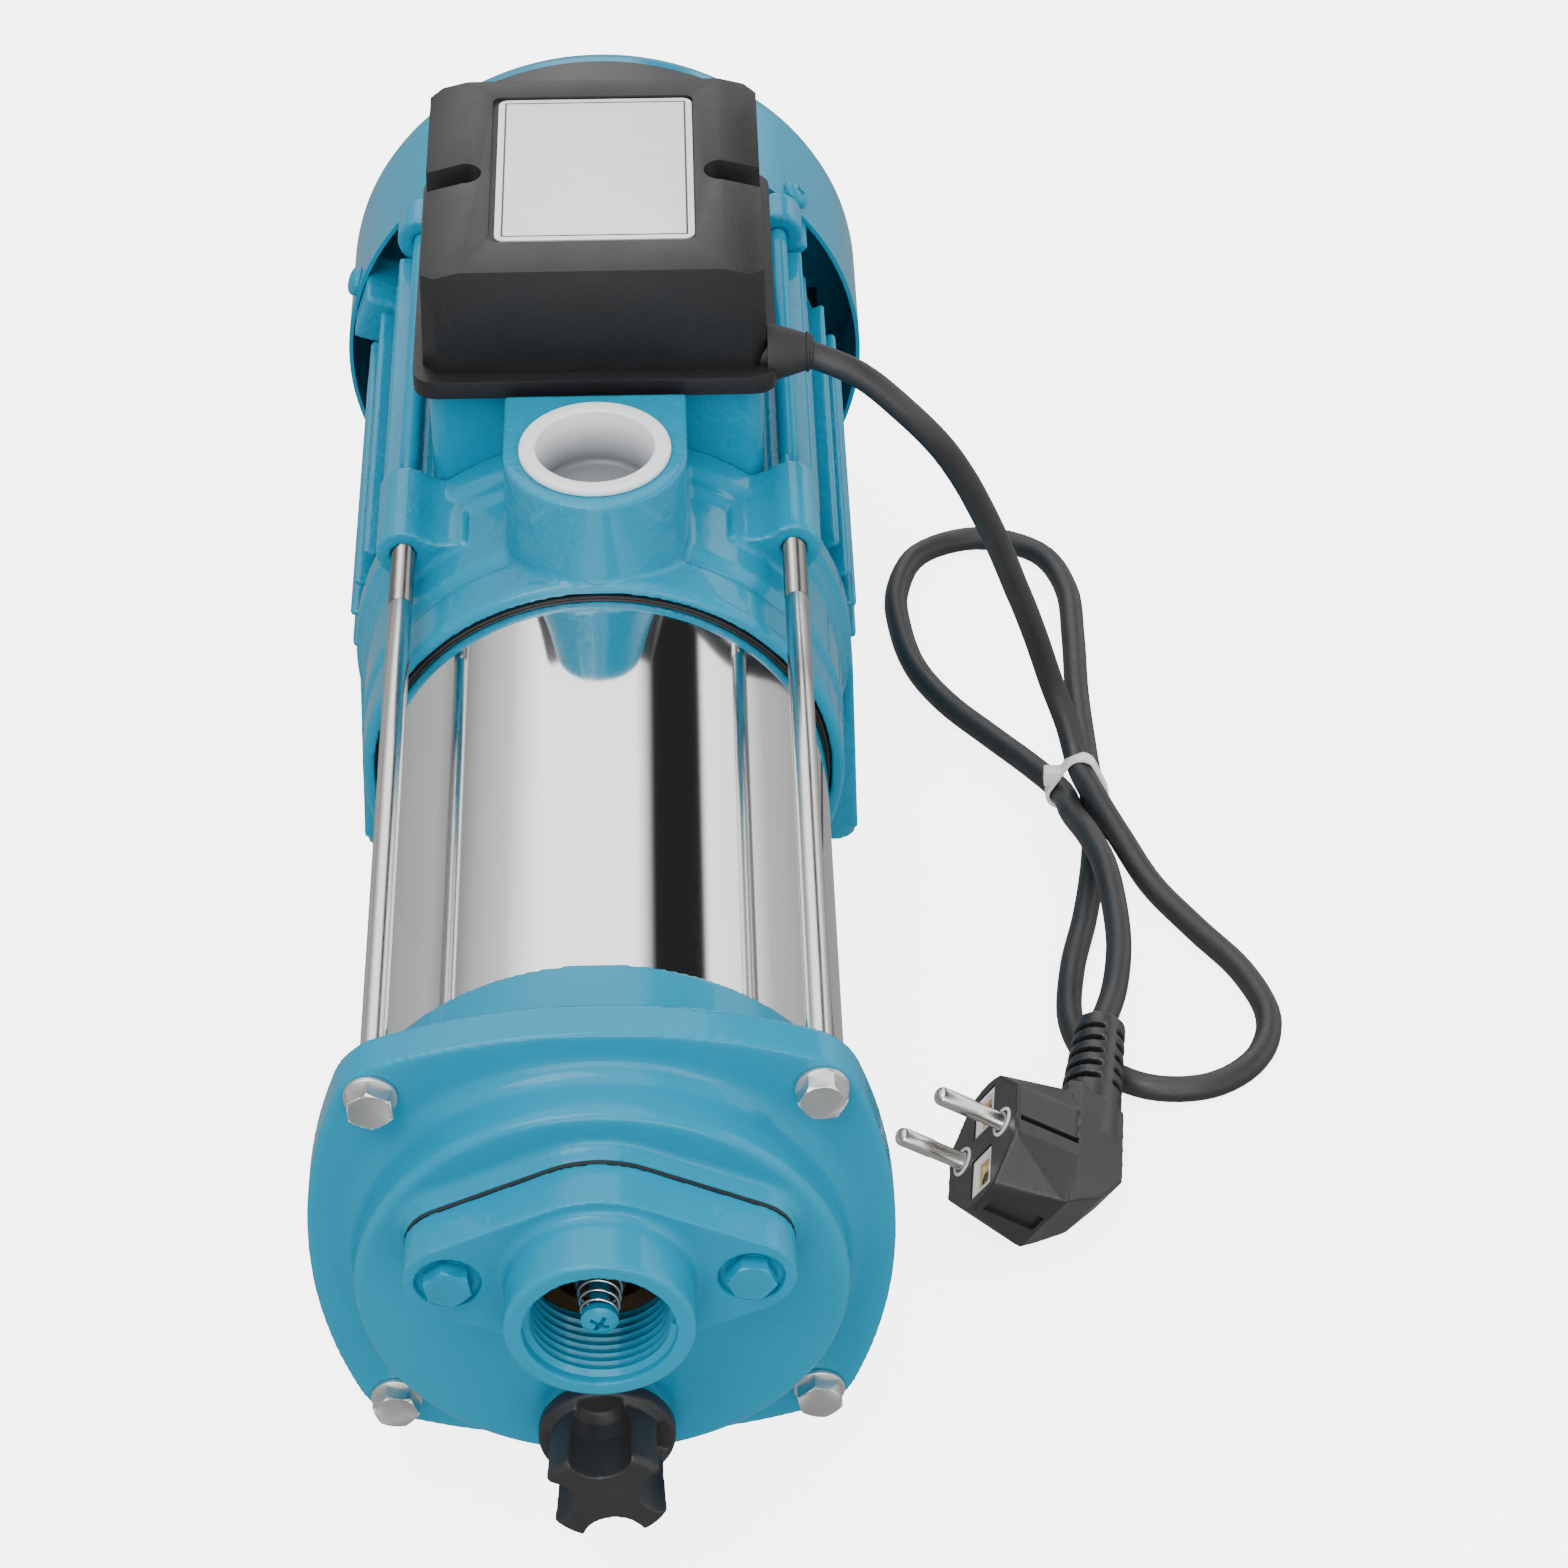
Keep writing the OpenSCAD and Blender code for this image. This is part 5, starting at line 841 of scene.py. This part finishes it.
# Suction flange. A two-bolt cast flange with the threaded suction port, over a thin gasket. The pipe
# thread is cut in the casting and painted over.
suction = recast(copied("suction_body", "suction_flange"), 0.0005, 5)
fit(suction, smooth_paint, ["suction_flange"])
thread_pitch, port_r, thread_depth = 0.002309, 0.01662, 0.00135
port_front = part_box("suction_flange")[0].y
ridge = wound("suction_port_thread", port_r + 0.0003, port_r - thread_depth, thread_pitch, 7, 96)
seat(ridge, Matrix.Translation((0, port_front + 0.0024, port_z)) @ along_y)
fit(ridge, smooth_paint)
head_r, head_h, bolt_len = 0.0056, 0.004, 0.02
bolt_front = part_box("flange_bolts")[0].y + head_h
bolts = []
for x, turn in ((-0.033, 9), (0.033, 22)):
    head = hex_blank("head", head_r, head_h, 0.0003, 0.0054)
    turned_head = towards_front @ Matrix.Rotation(math.radians(turn), 4, "Z")
    seat(head, Matrix.Translation((x, bolt_front, port_z)) @ turned_head)
    shank = lathe("shank", [(0.003, 0), (0.003, bolt_len - 0.0005), (0.0025, bolt_len)], 32)
    seat(shank, Matrix.Translation((x, bolt_front, port_z)) @ along_y)
    bolts.append(joined("bolt", shank, head))
fit(joined("flange_bolt_pair", *bolts), smooth_paint, ["flange_bolts"])


# Tie rods. Four long stainless bolts draw the two castings together over the barrel; each has a
# chamfered hexagon head on a washer, and its thread shows where it enters the ear.
stainless, wire, feed = material("bright_stainless", Metallic=1.0)
turned = wire.noise(80, 3, stretch=(1, 0.12, 1))
# Painted shade: the threaded length by the ear is painted dark grey, for the shade in the thread's grooves.
painted_thread_shade = wire.math("GREATER_THAN", wire.axis("Y"), -0.1049)  # where the thread's runout starts
headed = wire.math("LESS_THAN", wire.axis("Y"), -0.2765)  # the heads and the washers
bright = wire.blend(turned, (0.58, 0.57, 0.55), (0.74, 0.73, 0.71))
feed(Base_Color=wire.blend(painted_thread_shade, bright, (0.26, 0.25, 0.235)),
     Roughness=0.17 + 0.14 * wire.noise(200, 3) + 0.2 * headed,
     Normal=wire.bump(wire.noise(500, 3) * headed, 0.0001, 0.25))
rod_front, rod_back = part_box("tie_bolts")[0].y + head_h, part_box("tie_bolts")[1].y
thread_len, rod_r = 0.0415, 0.003
reach, root_r = rod_back - rod_front, rod_r * 0.84
thread_from = reach - thread_len
rods = []
for (x, z), turn in zip(corners, (20, 3, 12, 34)):
    head = hex_blank("head", head_r, head_h, 0.0003, 0.0052)
    place = Matrix.Translation((x, rod_front, z))
    seat(head, place @ towards_front @ Matrix.Rotation(math.radians(turn), 4, "Z"))
    rod = lathe("rod", [(rod_r, 0), (rod_r, reach * 0.5), (rod_r, thread_from), (root_r, thread_from + 0.0008),
                        (root_r, reach)], 48)
    ridge = wound("rod_thread", rod_r * 0.82, rod_r, 0.001, 24, 32)
    seat(ridge, Matrix.Translation((0, 0, thread_from + 0.0006)))
    rods.append(joined("rod", seat(joined("rod", ridge, rod), place @ along_y), head))
fit(joined("tie_rod_set", *rods), stainless, ["tie_bolts"])
washers = []
washer_bore, washer_r, washer_t, edge_r = rod_r + 0.00005, 0.006, 0.0014, 0.0003
washer_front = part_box("tie_washers")[0].y
for x, z in corners:
    washer = lathe("washer", [
        (washer_bore, 0), *round_edge(washer_r - edge_r, edge_r, edge_r, -90, 0, 3),
        *round_edge(washer_r - edge_r, washer_t - edge_r, edge_r, 0, 90, 3),
        (washer_bore, washer_t), (washer_bore, 0)], 64)
    washers.append(seat(washer, Matrix.Translation((x, washer_front, z)) @ along_y))
fit(joined("tie_washer_set", *washers), stainless, ["tie_washers"])


# Drain plug. A knob of black moulded rubber-like plastic with a round skirt and four flared arms, cut by
# four hollow scallops for the fingers, on a shank that screws into the casing.
knob_plastic, wire, feed = material("knob_plastic", Specular_IOR_Level=0.45)
feed(Base_Color=wire.blend(wire.noise(60, 3), (0.010, 0.010, 0.011), (0.022, 0.022, 0.023)),
     Roughness=0.4 + 0.22 * wire.noise(150, 3), Normal=wire.bump(wire.noise(700, 3), 0.0002, 0.4))
knob_low, knob_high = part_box("drain_plug")
drain_z = axis_z - 0.04
skirt_r, skirt_t, skirt_edge, shank_r = 0.0157, 0.004, 0.0012, 0.008
grip_r, grip_flare, grip_len, grip_edge = 0.0136, 0.0011, 0.017, 0.0016
shank_len, grip_foot = knob_high.y - knob_low.y - skirt_t - grip_len, skirt_t + 0.0006
knob_top = skirt_t + grip_len
knob = lathe("drain_knob_moulding", [
    (shank_r, -shank_len), (shank_r, 0), (skirt_r, 0),
    *round_edge(skirt_r - skirt_edge, skirt_t - skirt_edge, skirt_edge, 0, 70, 4),
    *((grip_r + grip_flare * share / 6, grip_foot + (grip_len - 0.0026) * share / 6) for share in range(7)),
    *round_edge(grip_r + grip_flare - grip_edge, knob_top - grip_edge, grip_edge, 0, 90, 4),
    (0.004, knob_top)], 96)
scallop_at, scallop_r = 0.0142, 0.0071
for turn in (0, 90, 180, 270):
    tool = lathe("scallop", [(scallop_r * 0.72, skirt_t * 0.95), (scallop_r * 0.9, skirt_t + 0.0022),
                             (scallop_r, skirt_t + 0.006), (scallop_r * 1.02, knob_top + 0.004)], 48)
    spot = Matrix.Rotation(math.radians(turn + 6), 4, "Z") @ Matrix.Translation((scallop_at, 0, 0))
    trim(knob, seat(tool, spot))
recast(knob, 0.00035, 4)
seat(knob, Matrix.Translation((0, knob_high.y - shank_len, drain_z)) @ towards_front)
fit(knob, knob_plastic, ["drain_plug"], "drain_knob")


# Studio. A white floor and room, lit by large soft panels. The mirror of the barrel sees a broad white
# ceiling with one dark flag beside it, as in a product studio.
bpy.ops.object.select_all(action="DESELECT")
bpy.ops.mesh.primitive_plane_add(size=8, location=(0, 0, 0))
floor = bpy.context.object
floor.name = "floor"
floor_finish, wire, feed = material("studio_floor", Roughness=0.9, Specular_IOR_Level=0.1,
                                    Emission_Color=(1, 1, 1), Emission_Strength=4.2)
feed(Base_Color=wire.blend(wire.noise(2, 1), (0.92, 0.92, 0.92), (0.94, 0.94, 0.94)))
floor.data.materials.append(floor_finish)
floor.visible_diffuse = False
floor.visible_glossy = False
world = bpy.data.worlds.new("studio")
world.use_nodes = True
bpy.context.scene.world = world
room = Wire(world.node_tree)
heading = room.node("TexCoord", output="Generated")
heading_x = room.node("SeparateXYZ", None, {"Vector": heading}, "X")
heading_z = room.node("SeparateXYZ", None, {"Vector": heading}, "Z")
turn = room.math("ARCTAN2", heading_x, heading_z) * (1 / math.tau) + 0.5
ceiling = turn.ramp((0.0, 0.16), (0.12, 0.16), (0.25, 0.26), (0.29, 0.12), (0.33, 0.3), (0.37, 0.42),
                    (0.42, 1.0), (0.548, 1.0), (0.572, 0.01), (0.640, 0.01), (0.650, 0.9), (0.70, 0.75),
                    (0.75, 0.3), (0.88, 0.16))
glossy = room.node("LightPath", output="Is Glossy Ray")
seen = room.node("LightPath", output="Is Camera Ray")
light = room.blend(glossy, room.blend(seen, (0.95, 0.95, 0.95), (5.4, 5.4, 5.4)), ceiling)
background = world.node_tree.nodes["Background"]
world.node_tree.links.new(light.socket, background.inputs["Color"])
world.node_tree.links.new((glossy * 1.5 + 1.0).socket, background.inputs["Strength"])
for name, place, aim, size, power in (
        ("key", (-0.5, -0.9, 1.5), (0, 0, 0.1), (0.9, 0.9), 16),
        ("fill", (1.3, -0.3, 0.9), (0, 0, 0.1), (0.6, 1.4), 8),
        ("front", (0.1, -1.7, 0.5), (0, -0.3, 0.08), (1.2, 0.7), 9),
        ("top", (0, 0.1, 1.6), (0, 0, 0.1), (0.9, 1.4), 9)):
    lamp = bpy.data.lights.new(name, "AREA")
    lamp.shape = "RECTANGLE"
    lamp.size, lamp.size_y, lamp.energy = *size, power
    lamp_object = bpy.data.objects.new(name, lamp)
    bpy.context.scene.collection.objects.link(lamp_object)
    lamp_object.location = place
    lamp_object.rotation_euler = (Vector(aim) - Vector(place)).to_track_quat("-Z", "Y").to_euler()
    lamp_object.visible_glossy = name in ("key", "front")
